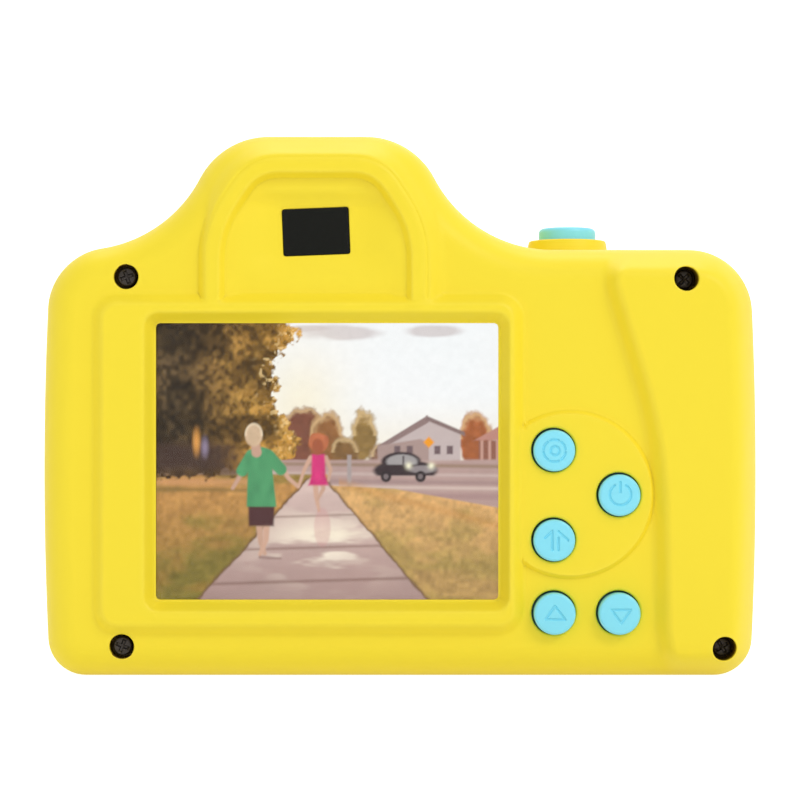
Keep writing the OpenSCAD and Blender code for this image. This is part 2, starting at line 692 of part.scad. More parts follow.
module lens_cover() color(clear) rod(lens_at, mouth_y - barrel_edge - cover_t, mouth_y - barrel_edge, cover_r);

module flash_window() color(clear) {
    box_slab(about(flash_at, flash_flange), flash_y[3], flash_y[4]);
    box_slab(about(flash_at, flash_pane), flash_y[4], front_y - 0.1);
}

module flash_reflector() color("white") difference() {
    box_slab(about(flash_at, flash_pane), flash_y[1], flash_y[3]);
    taper(about(flash_at, reflector_mouth), flash_y[3] + 0.01, about(flash_at, reflector_floor), flash_y[1] - 0.01);
}

module flash_led() color("gold") box_slab(about(flash_at, flash_chip), flash_y[1], flash_y[2]);

module flash_board() color(board_green) box_slab(about(flash_at, flash_plate), flash_y[0], flash_y[1]);

// ---- Fasteners, strap bar and door ----

// Cheese head screw along +Y, with a cross recess.
module screw(at, head_y) difference() {
    union() {
        rod(at, head_y, head_y + head_t, head_r);
        rod(at, head_y + head_t, head_y + head_t + screw_len, screw_r);
    }
    for (turn = [0, 90]) translate([at[0], 0, at[1]]) rotate([0, turn + 45, 0])
        box_slab(about([0, 0], recess), head_y - 0.1, head_y + recess[2]);
}

module case_screws() color(black) for (at = screw_at) screw(at, seat_y - head_t);

module board_screws() color(steel) for (at = post_at) {
    rod(at, board_front_y, board_front_y + 0.8, 1.2);
    rod(at, board_rear_y - post_hole_d + 0.8, board_front_y, screw_r);
}

module strap_bar() color(steel)
    rod([strap_x, strap_z], parting_y - strap_half, parting_y + strap_half, strap_r);

module port_door() color(case_yellow) difference() {
    union() {
        box_slab([door_x[0], hinge_at[1], door_x[1], door_z[1]], parting_y - door_half_w, parting_y + door_half_w);
        rod(hinge_at, parting_y - door_half_w, parting_y + door_half_w, hinge_r);
    }
    rod(hinge_at, parting_y - pin_half, parting_y + pin_half, pin_r + pin_gap);
}

module port_door_pin() color(steel) rod(hinge_at, parting_y - pin_half, parting_y + pin_half, pin_r);

// ---- Shutter button and keys ----

module upright(at, profile) translate([at[0], at[1], 0]) rotate_extrude($fn = round_fn) polygon(profile);

module shutter_collar() color(case_yellow) upright([shutter_x, parting_y], [
    [collar_bore_r, collar_foot_z], [collar_foot_r, collar_foot_z], [collar_foot_r, shoulder_z - wall],
    [collar_neck_r, shoulder_z - wall], [collar_neck_r, shoulder_z], [collar_r, shoulder_z],
    [collar_r, collar_z - collar_edge], [collar_r - collar_edge, collar_z], [collar_bore_r, collar_z]]);

module shutter_button() color(key_blue) upright([shutter_x, parting_y], [
    [0, shutter_tip_z], [shutter_stem_r, shutter_tip_z], [shutter_stem_r, shutter_flange[1]],
    [shutter_flange[0], shutter_flange[1]], [shutter_flange[0], shutter_flange[2]], [shutter_r, shutter_flange[2]],
    [shutter_r, shutter_top - 0.7], [shutter_r - 0.2, shutter_top - 0.25], [shutter_r - 0.7, shutter_top],
    [0, shutter_top]]);

module key_cap(i) color(key_blue) turned(key_at[i], [
    [0, rear_y - key_proud], [key_r - cap_edge, rear_y - key_proud], [key_r, rear_y - key_proud + cap_edge],
    [key_r, rear_y + flange_d[0]], [flange_r, rear_y + flange_d[0]], [flange_r, rear_y + flange_d[1]],
    [0, rear_y + flange_d[1]]]);

module button_menu() key_cap(0);
module button_power() key_cap(1);
module button_playback() key_cap(2);
module button_up() key_cap(3);
module button_down() key_cap(4);
module plunger_menu() key_plunger(0);
module plunger_power() key_plunger(1);
module plunger_playback() key_plunger(2);
module plunger_up() key_plunger(3);
module plunger_down() key_plunger(4);

rear_shell();
front_shell();
shutter_collar();
screen_window();
screen_gasket();
display_panel();
display_backlight();
display_frame();
display_flex();
display_connector();
eyepiece_window();
main_board();
board_chips();
switch_bases();
switch_covers();
shutter_switch();
usb_socket();
card_socket();
battery();
battery_pad();
battery_lead_red();
battery_lead_black();
speaker();
speaker_leads();
microphone();
sensor_board();
lens_holder();
objective_lens();
camera_bracket();
camera_bracket_screws();
camera_flex();
lens_barrel();
lens_cone();
lens_cover();
flash_window();
flash_led();
flash_reflector();
flash_board();
case_screws();
board_screws();
strap_bar();
port_door();
port_door_pin();
shutter_button();
shutter_plunger();
button_menu();
button_power();
button_playback();
button_up();
button_down();
plunger_menu();
plunger_power();
plunger_playback();
plunger_up();
plunger_down();
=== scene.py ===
import json
import math

import bpy
import numpy as np
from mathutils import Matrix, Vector
from mathutils.geometry import delaunay_2d_cdt


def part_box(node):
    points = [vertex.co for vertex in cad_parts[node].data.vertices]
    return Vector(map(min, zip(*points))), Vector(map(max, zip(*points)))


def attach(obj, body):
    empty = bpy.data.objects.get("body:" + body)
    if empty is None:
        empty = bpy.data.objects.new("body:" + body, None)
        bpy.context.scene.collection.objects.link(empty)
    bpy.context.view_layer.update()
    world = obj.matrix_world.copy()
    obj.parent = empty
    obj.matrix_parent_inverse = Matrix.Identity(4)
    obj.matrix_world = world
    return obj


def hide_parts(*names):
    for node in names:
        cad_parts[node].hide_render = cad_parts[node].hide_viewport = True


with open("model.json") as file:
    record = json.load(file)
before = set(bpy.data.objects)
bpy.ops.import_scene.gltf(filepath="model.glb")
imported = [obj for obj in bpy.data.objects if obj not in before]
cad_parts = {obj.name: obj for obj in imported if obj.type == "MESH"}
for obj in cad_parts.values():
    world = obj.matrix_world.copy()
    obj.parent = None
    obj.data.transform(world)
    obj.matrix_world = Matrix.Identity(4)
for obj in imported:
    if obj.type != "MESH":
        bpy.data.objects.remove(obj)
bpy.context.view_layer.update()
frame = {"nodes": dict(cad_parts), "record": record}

# A children's digital camera. Lengths in this script are millimetres, and makePiece turns them into metres.
mm = 0.001


def boxOf(node):
    # a node's lower and upper corner in millimetres
    lo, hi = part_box(node)
    return np.array(lo) / mm, np.array(hi) / mm


def middleOf(node):
    # half the sum of the two corners
    lo, hi = boxOf(node)
    return (lo + hi) / 2


# A solid is an array of points and a list of face arrays, one for each count of corners.

def signedVolume(points, faces):
    # six times the volume: the sum over the triangles of a . (b x c), above zero when faces turn outwards
    total = 0.0
    for f in faces:
        for k in range(1, f.shape[1] - 1):
            a, b, c = points[f[:, 0]], points[f[:, k]], points[f[:, k + 1]]
            total += np.einsum("ij,ij->i", a, np.cross(b, c)).sum()
    return total


def outward(points, faces):
    # turns a closed solid's faces outwards
    if signedVolume(points - points.mean(0), faces) < 0:
        faces = [f[:, ::-1] for f in faces]
    return points, faces


def joined(*solids):
    # several solids as one: each one's faces count on from the points before it
    points, faces, start = [], [], 0
    for p, fs in solids:
        points.append(p)
        faces += [f + start for f in fs]
        start += len(p)
    return np.concatenate(points), faces


def makePiece(name, solid, sharp=32):
    # a mesh object in metres from a solid in millimetres
    points, faces = solid
    mesh = bpy.data.meshes.new(name)
    loops = np.concatenate([f.ravel() for f in faces]).astype(np.int32)
    sizes = np.concatenate([np.full(len(f), f.shape[1]) for f in faces])
    starts = (np.cumsum(sizes) - sizes).astype(np.int32)
    mesh.vertices.add(len(points))
    mesh.vertices.foreach_set("co", (points * mm).astype(np.float32).ravel())
    mesh.loops.add(len(loops))
    mesh.loops.foreach_set("vertex_index", loops)
    mesh.polygons.add(len(sizes))
    mesh.polygons.foreach_set("loop_start", starts)
    mesh.update(calc_edges=True)
    mesh.validate()
    piece = bpy.data.objects.new(name, mesh)
    bpy.context.scene.collection.objects.link(piece)
    shade(piece, sharp)
    return piece


def shade(piece, sharp):
    # smooth, except over edges that bend by more than sharp degrees
    piece.data.shade_smooth()
    piece.data.set_sharp_from_angle(angle=math.radians(sharp))


def gridFaces(rows, columns, wrapRows=False):
    # quads of a grid whose columns close round; point (r, c) has the number r * columns + c
    r = np.arange(rows if wrapRows else rows - 1)[:, None]
    c = np.arange(columns)[None, :]
    nextRow, nextColumn = (r + 1) % rows, (c + 1) % columns
    quads = [r * columns + c, nextRow * columns + c, nextRow * columns + nextColumn, r * columns + nextColumn]
    return np.stack([np.broadcast_to(q, (len(r), columns)) for q in quads], -1).reshape(-1, 4)


def fan(centre, ring):
    # triangles from one point to each pair of neighbours on a ring
    return np.stack([np.full(len(ring), centre), ring, np.roll(ring, -1)], -1)


def loft(rings):
    # closed skin through rings of equal length, with a fan over each end
    rings = np.asarray(rings, float)
    m, n = rings.shape[:2]
    points = np.concatenate([rings.reshape(-1, 3), [rings[0].mean(0), rings[-1].mean(0)]])
    first, last = np.arange(n), np.arange(n) + (m - 1) * n
    return outward(points, [gridFaces(m, n), fan(m * n, first), fan(m * n + 1, last[::-1])])


def turned(profile, centre, axis, steps=96, ripple=None):
    # profile rows are radius and place along the axis; it ends on the axis, or closes on itself as a ring
    profile = np.asarray(profile, float)
    poles = profile[0, 0] == 0
    body = profile[1:-1] if poles else profile
    angle = np.arange(steps) * 2 * np.pi / steps
    radius = np.repeat(body[:, :1], steps, 1)
    if ripple is not None:
        radius = radius + ripple(angle[None, :], body[:, :1], body[:, 1:])
    along = np.repeat(body[:, 1:], steps, 1)
    a, b = radius * np.cos(angle), radius * np.sin(angle)
    spots = [a, along, b] if axis == "y" else [a, b, along]
    points = np.stack(spots, -1).reshape(-1, 3)
    faces = [gridFaces(len(body), steps, wrapRows=not poles)]
    if poles:
        ends = [[0, e, 0] if axis == "y" else [0, 0, e] for e in (profile[0, 1], profile[-1, 1])]
        points = np.concatenate([points, ends])
        count = len(body) * steps
        faces += [fan(count, np.arange(steps)), fan(count + 1, np.arange(steps)[::-1] + count - steps)]
    return outward(points + np.asarray(centre, float), faces)


def filleted(corners, radii, closed=False, steps=5):
    # a polyline whose corners are curves: (1 - s)^2 start + 2 s (1 - s) corner + s^2 end
    corners = [np.array(c, float) for c in corners]
    count, path = len(corners), []
    for i, (corner, radius) in enumerate(zip(corners, radii)):
        if radius == 0 or (not closed and i in (0, count - 1)):
            path.append(corner[None])
            continue
        before, after = corners[i - 1] - corner, corners[(i + 1) % count] - corner
        reach = min(radius, 0.49 * np.linalg.norm(before), 0.49 * np.linalg.norm(after))
        start = corner + before / np.linalg.norm(before) * reach
        end = corner + after / np.linalg.norm(after) * reach
        s = np.linspace(0, 1, steps)[:, None]
        path.append((1 - s) ** 2 * start + 2 * s * (1 - s) * corner + s ** 2 * end)
    return np.concatenate(path)


def ringAt(flat, y):
    # an outline of x and z, placed at depth y
    return np.stack([flat[:, 0], np.full(len(flat), float(y)), flat[:, 1]], -1)


def prism(flat, y0, y1):
    # an outline carried straight from y0 to y1
    return loft([ringAt(flat, y0), ringAt(flat, y1)])


def rod(x, z, radius, y0, y1, steps=72):
    # a round bar along Y
    return turned([[0, y0], [radius, y0], [radius, y1], [0, y1]], [x, 0, z], "y", steps)


def block(lo, hi):
    # a box between two opposite corners
    (x0, y0, z0), (x1, y1, z1) = lo, hi
    return prism(np.array([[x0, z0], [x1, z0], [x1, z1], [x0, z1]], float), y0, y1)


def roundedBox(lo, hi, radius, gap=0.5):
    # closed outline of a box with round corners, its points about gap apart
    (x0, z0), (x1, z1), r = lo, hi, radius
    path = []
    for cx, cz, turn in ((x1 - r, z0 + r, -90), (x1 - r, z1 - r, 0), (x0 + r, z1 - r, 90), (x0 + r, z0 + r, 180)):
        angle = np.radians(turn + np.linspace(0, 90, max(3, int(r * 1.6 / gap) + 2)))
        path.append(np.stack([cx + r * np.cos(angle), cz + r * np.sin(angle)], -1))
    return resampled(np.concatenate(path), gap, closed=True)


def resampled(path, gap, closed=False):
    # the same path with straight stretches filled in, so that no step is longer than gap
    ends = np.roll(path, -1, 0) if closed else path[1:]
    starts = path if closed else path[:-1]
    filled = []
    for a, b in zip(starts, ends):
        pieces = max(1, int(np.ceil(np.linalg.norm(b - a) / gap - 1e-6)))
        filled.append(a + (b - a) * (np.arange(pieces) / pieces)[:, None])
    if not closed:
        filled.append(path[-1:])
    return np.concatenate(filled)


def carve(piece, solid, operation="DIFFERENCE"):
    # cuts a closed solid out of a piece, or adds it
    tool = makePiece("tool", solid)
    change = piece.modifiers.new("carve", "BOOLEAN")
    change.solver = "MANIFOLD"
    change.operation = operation
    change.object = tool
    graph = bpy.context.evaluated_depsgraph_get()
    result = bpy.data.meshes.new_from_object(piece.evaluated_get(graph))
    piece.modifiers.clear()
    old = piece.data
    piece.data = result
    bpy.data.meshes.remove(old)
    bpy.data.meshes.remove(tool.data)


# The outline lies in X and Z. Depths run along Y, from the plane of the front or the rear face.
case = {
    "humpX": -8.6, "humpFlat": 10.1, "crownR": 8.1, "footR": 13.8,
    "shoulderZ": 44.25, "shoulderR": 6.7, "baseR": 4.0,
    "sideR": 370.0, "sideZ": 21.3,
    "rimIn": 3.6, "rimDepth": 4.5, "wall": 1.8,
    "rearDepth": 11.0, "frontDepth": 12.0, "ringGap": 0.5, "leastStraight": 0.05, "beyond": 40, "middleZ": 22.0,
}
rearLo, rearHi = boxOf("rear_shell")
halfWidth, bodyHeight = rearHi[0], rearHi[2]
partingY = rearHi[1]
rearY = partingY - case["rearDepth"]
frontY = partingY + case["frontDepth"]


def outlineArcs():
    # arcs of the outline, going round from the lower right corner: centre, radius, first and last angle, bulge
    sideR, sideZ = case["sideR"], case["sideZ"]
    sideX = halfWidth - sideR
    baseR, shoulderR, footR, crownR = (case[k] for k in ("baseR", "shoulderR", "footR", "crownR"))
    baseX = sideX + math.sqrt((sideR - baseR) ** 2 - (baseR - sideZ) ** 2)
    cornerZ = case["shoulderZ"] - shoulderR
    cornerX = sideX + math.sqrt((sideR - shoulderR) ** 2 - (cornerZ - sideZ) ** 2)
    low = math.degrees(math.atan2(baseR - sideZ, baseX - sideX))
    high = math.degrees(math.atan2(cornerZ - sideZ, cornerX - sideX))
    crownZ, footZ = bodyHeight - crownR, case["shoulderZ"] + footR
    reach = math.sqrt((crownR + footR) ** 2 - (footZ - crownZ) ** 2)
    flat, hump = case["humpFlat"] / 2, case["humpX"]
    lean = math.degrees(math.atan2(footZ - crownZ, reach))
    gap = cornerX + hump - flat - reach
    leftZ = footZ - math.sqrt((shoulderR + footR) ** 2 - gap ** 2)
    leftLean = math.degrees(math.atan2(footZ - leftZ, gap))
    return [
        (baseX, baseR, baseR, -90, low, 1),
        (sideX, sideZ, sideR, low, high, 1),
        (cornerX, cornerZ, shoulderR, high, 90, 1),
        (hump + flat + reach, footZ, footR, -90, lean - 180, -1),
        (hump + flat, crownZ, crownR, lean, 90, 1),
        (hump - flat, crownZ, crownR, 90, 180 - lean, 1),
        (hump - flat - reach, footZ, footR, -lean, leftLean - 180, -1),
        (-cornerX, leftZ, shoulderR, leftLean, 180 - high, 1),
        (-sideX, sideZ, sideR, 180 - high, 180 - low, 1),
        (-baseX, baseR, baseR, 180 - low, 270, 1),
    ]


arcs = outlineArcs()


def outline(inset, gap=None):
    # the outline moved inwards; every inset has the same number of points
    gap = gap or case["ringGap"]
    rows = []
    for cx, cz, radius, first, last, bulge in arcs:
        count = max(4, int(abs(math.radians(last - first)) * radius / gap))
        angle = np.radians(np.linspace(first, last, count + 1))
        r = radius - bulge * inset
        rows.append(np.stack([cx + r * np.cos(angle), cz + r * np.sin(angle)], -1))
    filled = []
    for i, row in enumerate(rows):
        following = rows[(i + 1) % len(rows)][0]
        full = np.linalg.norm(arcSpot(i, 1) - arcSpot((i + 1) % len(arcs), 0))
        filled.append(row[:-1])
        if full > case["leastStraight"]:
            pieces = max(1, int(full / gap))
            filled.append(row[-1] + (following - row[-1]) * (np.arange(pieces) / pieces)[:, None])
    return np.concatenate(filled)


def arcSpot(i, end):
    # where arc i starts (end 0) or stops (end 1): its centre plus its radius times the angle's cosine and sine
    cx, cz, radius = arcs[i][:3]
    angle = math.radians(arcs[i][3 + end])
    return np.array([cx + radius * math.cos(angle), cz + radius * math.sin(angle)])


def insetOf(x, z):
    # distance inwards from the outline: the least over the arcs and straights that face the point
    best = np.full(x.shape, 99.0)
    for i, (cx, cz, radius, first, last, bulge) in enumerate(arcs):
        angle = np.degrees(np.arctan2(z - cz, x - cx))
        lowEnd, highEnd = min(first, last), max(first, last)
        turn = (angle - lowEnd) % 360
        facing = (turn <= highEnd - lowEnd + 1e-3) | (turn >= 360 - 1e-3)
        away = bulge * (radius - np.hypot(x - cx, z - cz))
        best = np.where(facing & (away < best), away, best)
        start, end = arcSpot(i, 1), arcSpot((i + 1) % len(arcs), 0)
        length = np.linalg.norm(end - start)
        if length > case["leastStraight"]:
            along = (end - start) / length
            share = (x - start[0]) * along[0] + (z - start[1]) * along[1]
            away = (z - start[1]) * along[0] - (x - start[0]) * along[1]
            best = np.where((share >= -1e-4) & (share <= length + 1e-4) & (away < best), away, best)
    return best


def rimDrop(inset):
    # the rounded rim, a quarter ellipse: depth * (1 - sqrt(1 - t^2)), with t = 1 at the outline
    t = np.clip(1 - inset / case["rimIn"], 0, 1)
    return case["rimDepth"] * (1 - np.sqrt(1 - t ** 2))


def slope(t, soft=0.2):
    # 0 to 1, straight in the middle and rounded over a share of each end
    t = np.clip(t, 0, 1)
    scale = 2 * soft * (1 - soft)
    straight = (t - soft / 2) / (1 - soft)
    return np.where(t < soft, t ** 2 / scale, np.where(t > 1 - soft, 1 - (1 - t) ** 2 / scale, straight))


def ease(t):
    # 0 to 1 with level ends: t^2 (3 - 2 t)
    t = np.clip(t, 0, 1)
    return t * t * (3 - 2 * t)


def boxDistance(x, z, lo, hi, radius):
    # distance to a box with round corners, less than zero inside
    qx = np.abs(x - (lo[0] + hi[0]) / 2) - (hi[0] - lo[0]) / 2 + radius
    qz = np.abs(z - (lo[1] + hi[1]) / 2) - (hi[1] - lo[1]) / 2 + radius
    return np.hypot(np.maximum(qx, 0), np.maximum(qz, 0)) + np.minimum(np.maximum(qx, qz), 0) - radius


def sideDistance(x, z, path):
    # distance to a path, above zero to the right of its direction
    best, side = np.full(x.shape, 1e9), np.ones(x.shape)
    for a, b in zip(path[:-1], path[1:]):
        along = b - a
        t = np.clip(((x - a[0]) * along[0] + (z - a[1]) * along[1]) / (along @ along), 0, 1)
        dx, dz = x - a[0] - t * along[0], z - a[1] - t * along[1]
        away = np.hypot(dx, dz)
        closer = away < best
        side = np.where(closer, np.sign(along[1] * dx - along[0] * dz), side)
        best = np.where(closer, away, best)
    return best * side


windowLo, windowHi = boxOf("screen_window")
windowLap = 1
pictureLo = np.array([windowLo[0] + windowLap, windowLo[2] + windowLap])
pictureHi = np.array([windowHi[0] - windowLap, windowHi[2] - windowLap])
keyNames = ["menu", "power", "playback", "up", "down"]
keyAt = {k: middleOf("button_" + k)[[0, 2]] for k in keyNames}
screwLo = boxOf("case_screws")[0]

surround = {
    "crestLo": np.array([-30.1, 5.9]), "crestHi": np.array([11.35, 38.2]), "crestCorner": 1.3,
    "height": 1.2, "outerSlope": 1.5, "funnel": 1.25, "sink": 0.3, "openingCorner": 0.4,
}
arch = {
    "halfWidth": 11.2, "bendZ": 46.3, "topHalf": 6.7, "top": 53.2, "lowRound": 3.4, "topRound": 3.0,
    "height": 1.15, "rise": 0.95, "spread": 1.2, "crest": 1.25, "fall": 0.85, "ledge": 0.32,
    "footZ": 33, "legEnd": 38.6, "legStart": 35.6, "bendFade": 5, "groove": 0.12, "grooveWide": 0.16,
    "panelTop": 44.5, "panelFade": 5.0, "panelIn": 2.2, "panelEdge": 1.5, "panelShare": 0.85, "panelHalf": 11,
    "bowl": 0.6, "bowlSide": (4.0, 9.0), "bowlTop": (48.5, 50.4), "bowlFoot": (40.4, 44.0),
}
thumb = {
    "height": 1.6, "slope": 2.0, "soft": 0.4, "edgeFade": 3.0,
    "corners": [(27.0, 0.4), (25.8, 4.0), (25.45, 24.0), (20.1, 41.4), (22.6, 44.9)],
    "rounds": [0, 2.0, 7.0, 2.8, 0],
}
disc = {"x": 17.4, "z": 18.95, "radius": 8.44, "height": 0.52, "edge": 0.52}
keyHole = {"radius": 2.27, "lip": 0.22}
screwHole = {"radius": 1.27, "lip": 0.14, "seat": 2.1, "clearance": 0.75}


def thumbPath():
    # left edge of the thumb rest, from the base to the shoulder: straights joined by wide curves
    return resampled(filleted(thumb["corners"], thumb["rounds"], steps=14), 0.45)


thumbEdge = thumbPath()


def archPath():
    # outer edge of the arch's crest: up the left leg, over the top and down the right leg
    wide, top, mid = arch["halfWidth"], arch["topHalf"], case["humpX"]
    foot, bend = arch["footZ"], arch["bendZ"]
    corners = [(mid - wide, foot), (mid - wide, bend), (mid - top, arch["top"]),
               (mid + top, arch["top"]), (mid + wide, bend), (mid + wide, foot)]
    low, high = arch["lowRound"], arch["topRound"]
    return resampled(filleted(corners, [0, low, high, high, low, 0], steps=10), 0.4)


archEdge = archPath()


def holeLip(x, z, spots, radius, lip):
    # how far the skin dips into a hole's rounded edge: lip * (1 - sqrt(1 - t^2)), with t = 1 at the hole
    dip = np.zeros(x.shape)
    for cx, cz in spots:
        t = np.clip(1 - (np.hypot(x - cx, z - cz) - radius) / lip, 0, 1)
        dip = np.maximum(dip, lip * (1 - np.sqrt(1 - t ** 2)))
    return dip


screwAt = [np.array(p) for p in ((-28.0, 41.2), (29.1, 40.95), (-28.45, 3.4), (33.0, 3.3))]


def archRelief(x, z):
    # height of the arch, and how far the bowl inside it is sunk from 0 to 1. Across the arch, q is the distance
    # inwards from the crest's outer edge: up a slope, level over the crest, then down the inner fall
    low, q = case["humpX"], sideDistance(x, z, archEdge)
    fall = slope((q - arch["crest"]) / arch["fall"], 0.3)
    high = ease((z - arch["bendZ"]) / arch["bendFade"])
    rise = arch["rise"] + arch["spread"] * np.maximum(high, ease((x - low) / arch["halfWidth"]))
    drop = arch["height"] - arch["ledge"] * (1 - high)
    raised = arch["height"] * slope(q / rise + 1, 0.3) - drop * fall
    raised = raised - arch["groove"] * np.exp(-((q + arch["grooveWide"]) / arch["grooveWide"]) ** 2)
    raised = np.where(z > arch["legStart"], raised, 0)
    (side0, side1), (top0, top1), (foot0, foot1) = arch["bowlSide"], arch["bowlTop"], arch["bowlFoot"]
    bowl = 1 - ease((np.abs(x - low) - side0) / (side1 - side0))
    bowl = bowl * (1 - slope((z - top0) / (top1 - top0), 0.3))
    bowl = bowl * ease((z - foot0) / (foot1 - foot0))
    # the flat panel between the arch's legs rises towards the screen surround
    panel = ease((arch["panelTop"] - z) / arch["panelFade"]) * ease((q - arch["panelIn"]) / arch["panelEdge"])
    raised = raised * (1 - arch["panelShare"] * panel * (np.abs(x - low) < arch["panelHalf"]))
    return np.maximum(raised, 0), bowl


def rearRelief(x, z):
    # height of the rear face's features above its plane: the rises joined smoothly by the sixth root of their
    # summed sixth powers, less the screen's funnel, the bowl and the lips of the holes
    crest = boxDistance(x, z, surround["crestLo"], surround["crestHi"], surround["crestCorner"])
    opening = boxDistance(x, z, pictureLo, pictureHi, surround["openingCorner"])
    frameRise = surround["height"] * (1 - slope(crest / surround["outerSlope"], 0.25))
    funnel = (surround["height"] + surround["sink"]) * (1 - slope(opening / surround["funnel"], 0.22))
    archRise, bowl = archRelief(x, z)
    thumbRise = thumb["height"] * slope(sideDistance(x, z, thumbEdge) / thumb["slope"], thumb["soft"])
    thumbRise = thumbRise * ease(insetOf(x, z) / thumb["edgeFade"])
    away = np.hypot(x - disc["x"], z - disc["z"]) - disc["radius"] + disc["edge"] / 2
    discRise = disc["height"] * (1 - slope(away / disc["edge"], 0.3))
    power = 6
    relief = sum(part ** power for part in (frameRise, archRise, thumbRise, discRise)) ** (1 / power)
    relief = relief - funnel - (arch["bowl"] + arch["ledge"]) * bowl
    relief = relief - holeLip(x, z, keyAt.values(), keyHole["radius"], keyHole["lip"])
    return relief - holeLip(x, z, screwAt, screwHole["radius"], screwHole["lip"])


def ringsRound(spots, radius, offsets, count):
    # circles of count points round each spot, one for each offset from the radius
    angle = np.arange(count) * 2 * np.pi / count
    circle = np.stack([np.cos(angle), np.sin(angle)], -1)
    return [np.asarray(spot) + circle * (radius + away) for spot in spots for away in offsets]


def shifted(path, away):
    # a path moved to its right
    along = np.gradient(path, axis=0)
    along /= np.linalg.norm(along, axis=1)[:, None]
    return path + np.stack([along[:, 1], -along[:, 0]], -1) * away


def rearCurves():
    # lines of points along the features, so that the mesh's edges follow them
    curves = []
    for away in np.concatenate([[-0.25, -0.1], np.linspace(0, surround["outerSlope"], 9), [1.65]]):
        corner = max(surround["crestCorner"] + away, 0.3)
        curves.append(roundedBox(surround["crestLo"] - away, surround["crestHi"] + away, corner))
    for away in np.concatenate([[-0.06, 0.05], np.linspace(0.15, surround["funnel"], 8)]):
        corner = surround["openingCorner"] + away
        curves.append(roundedBox(pictureLo - away, pictureHi + away, corner))
    inside = arch["crest"] + np.linspace(-0.15, 1, 9) * arch["fall"]
    for q in np.concatenate([np.linspace(-1.15, 0.12, 10), [0.6], inside]):
        path = shifted(archEdge, q)
        curves.append(path[path[:, 1] > arch["legEnd"]])
    for away in np.linspace(-0.15, thumb["slope"] + 0.15, 14):
        curves.append(shifted(thumbEdge, away))
    offsets = [-0.33, -0.23, -0.12, 0, 0.12, 0.23, 0.33]
    for path in ringsRound([(disc["x"], disc["z"])], disc["radius"], offsets, 150):
        path = np.roll(path, -int(np.argmin(path[:, 0])), 0)
        curves.append(path[path[:, 0] > surround["crestHi"][0] + 1.6])
    loops = ringsRound(keyAt.values(), keyHole["radius"], [-0.05, 0.03, 0.08, 0.14, 0.2, 0.3], 80)
    loops += ringsRound(screwAt, screwHole["radius"], [-0.05, 0.02, 0.06, 0.11, 0.17, 0.26], 56)
    return curves, loops


def gridBetween(taken, gap, sparse):
    # a square grid over the face, without the points near a taken one: a map of cells half a gap wide marks
    # every taken point's cell and its neighbours
    cell = gap * 0.5
    corner = taken.min(0) - 4 * cell
    size = np.ceil((taken.max(0) + 4 * cell - corner) / cell).astype(int) + 1
    marked = np.zeros(size, bool)
    at = ((taken - corner) / cell).astype(int)
    marked[at[:, 0], at[:, 1]] = True
    marked[1:] |= marked[:-1].copy()
    marked[:-1] |= marked[1:].copy()
    marked[:, 1:] |= marked[:, :-1].copy()
    marked[:, :-1] |= marked[:, 1:].copy()
    gx, gz = np.meshgrid(np.arange(-halfWidth, halfWidth, gap), np.arange(0, bodyHeight, gap))
    # a slight shift keeps the grid's points off the features' straight lines
    grid = np.stack([gx.ravel() + 0.013, gz.ravel() + 0.017], -1)
    at = ((grid - corner) / cell).astype(int)
    inside = (at >= 0).all(1) & (at < size).all(1)
    grid, at = grid[inside], at[inside]
    grid = grid[~marked[at[:, 0], at[:, 1]]]
    grid = grid[insetOf(grid[:, 0], grid[:, 1]) > case["rimIn"] + 0.2]
    return grid if sparse is None else grid[~sparse(grid[:, 0], grid[:, 1])]


def pathEdges(rings, lines):
    # the points of all paths, and an edge from each point to the next; points outside the outline are left out
    points, edges, start = [], [], 0
    for path, closed in [(r, True) for r in rings] + lines:
        keep = np.ones(len(path), bool)
        if path is not rings[0]:
            keep = insetOf(path[:, 0], path[:, 1]) > 0.012
        index = np.arange(len(path))
        following = np.roll(index, -1) if closed else index[1:]
        pairs = np.stack([index if closed else index[:-1], following], -1)
        pairs = pairs[keep[pairs].all(1)]
        renumber = np.cumsum(keep) - 1 + start
        points.append(path[keep])
        edges.append(renumber[pairs])
        start += int(keep.sum())
    return points, edges


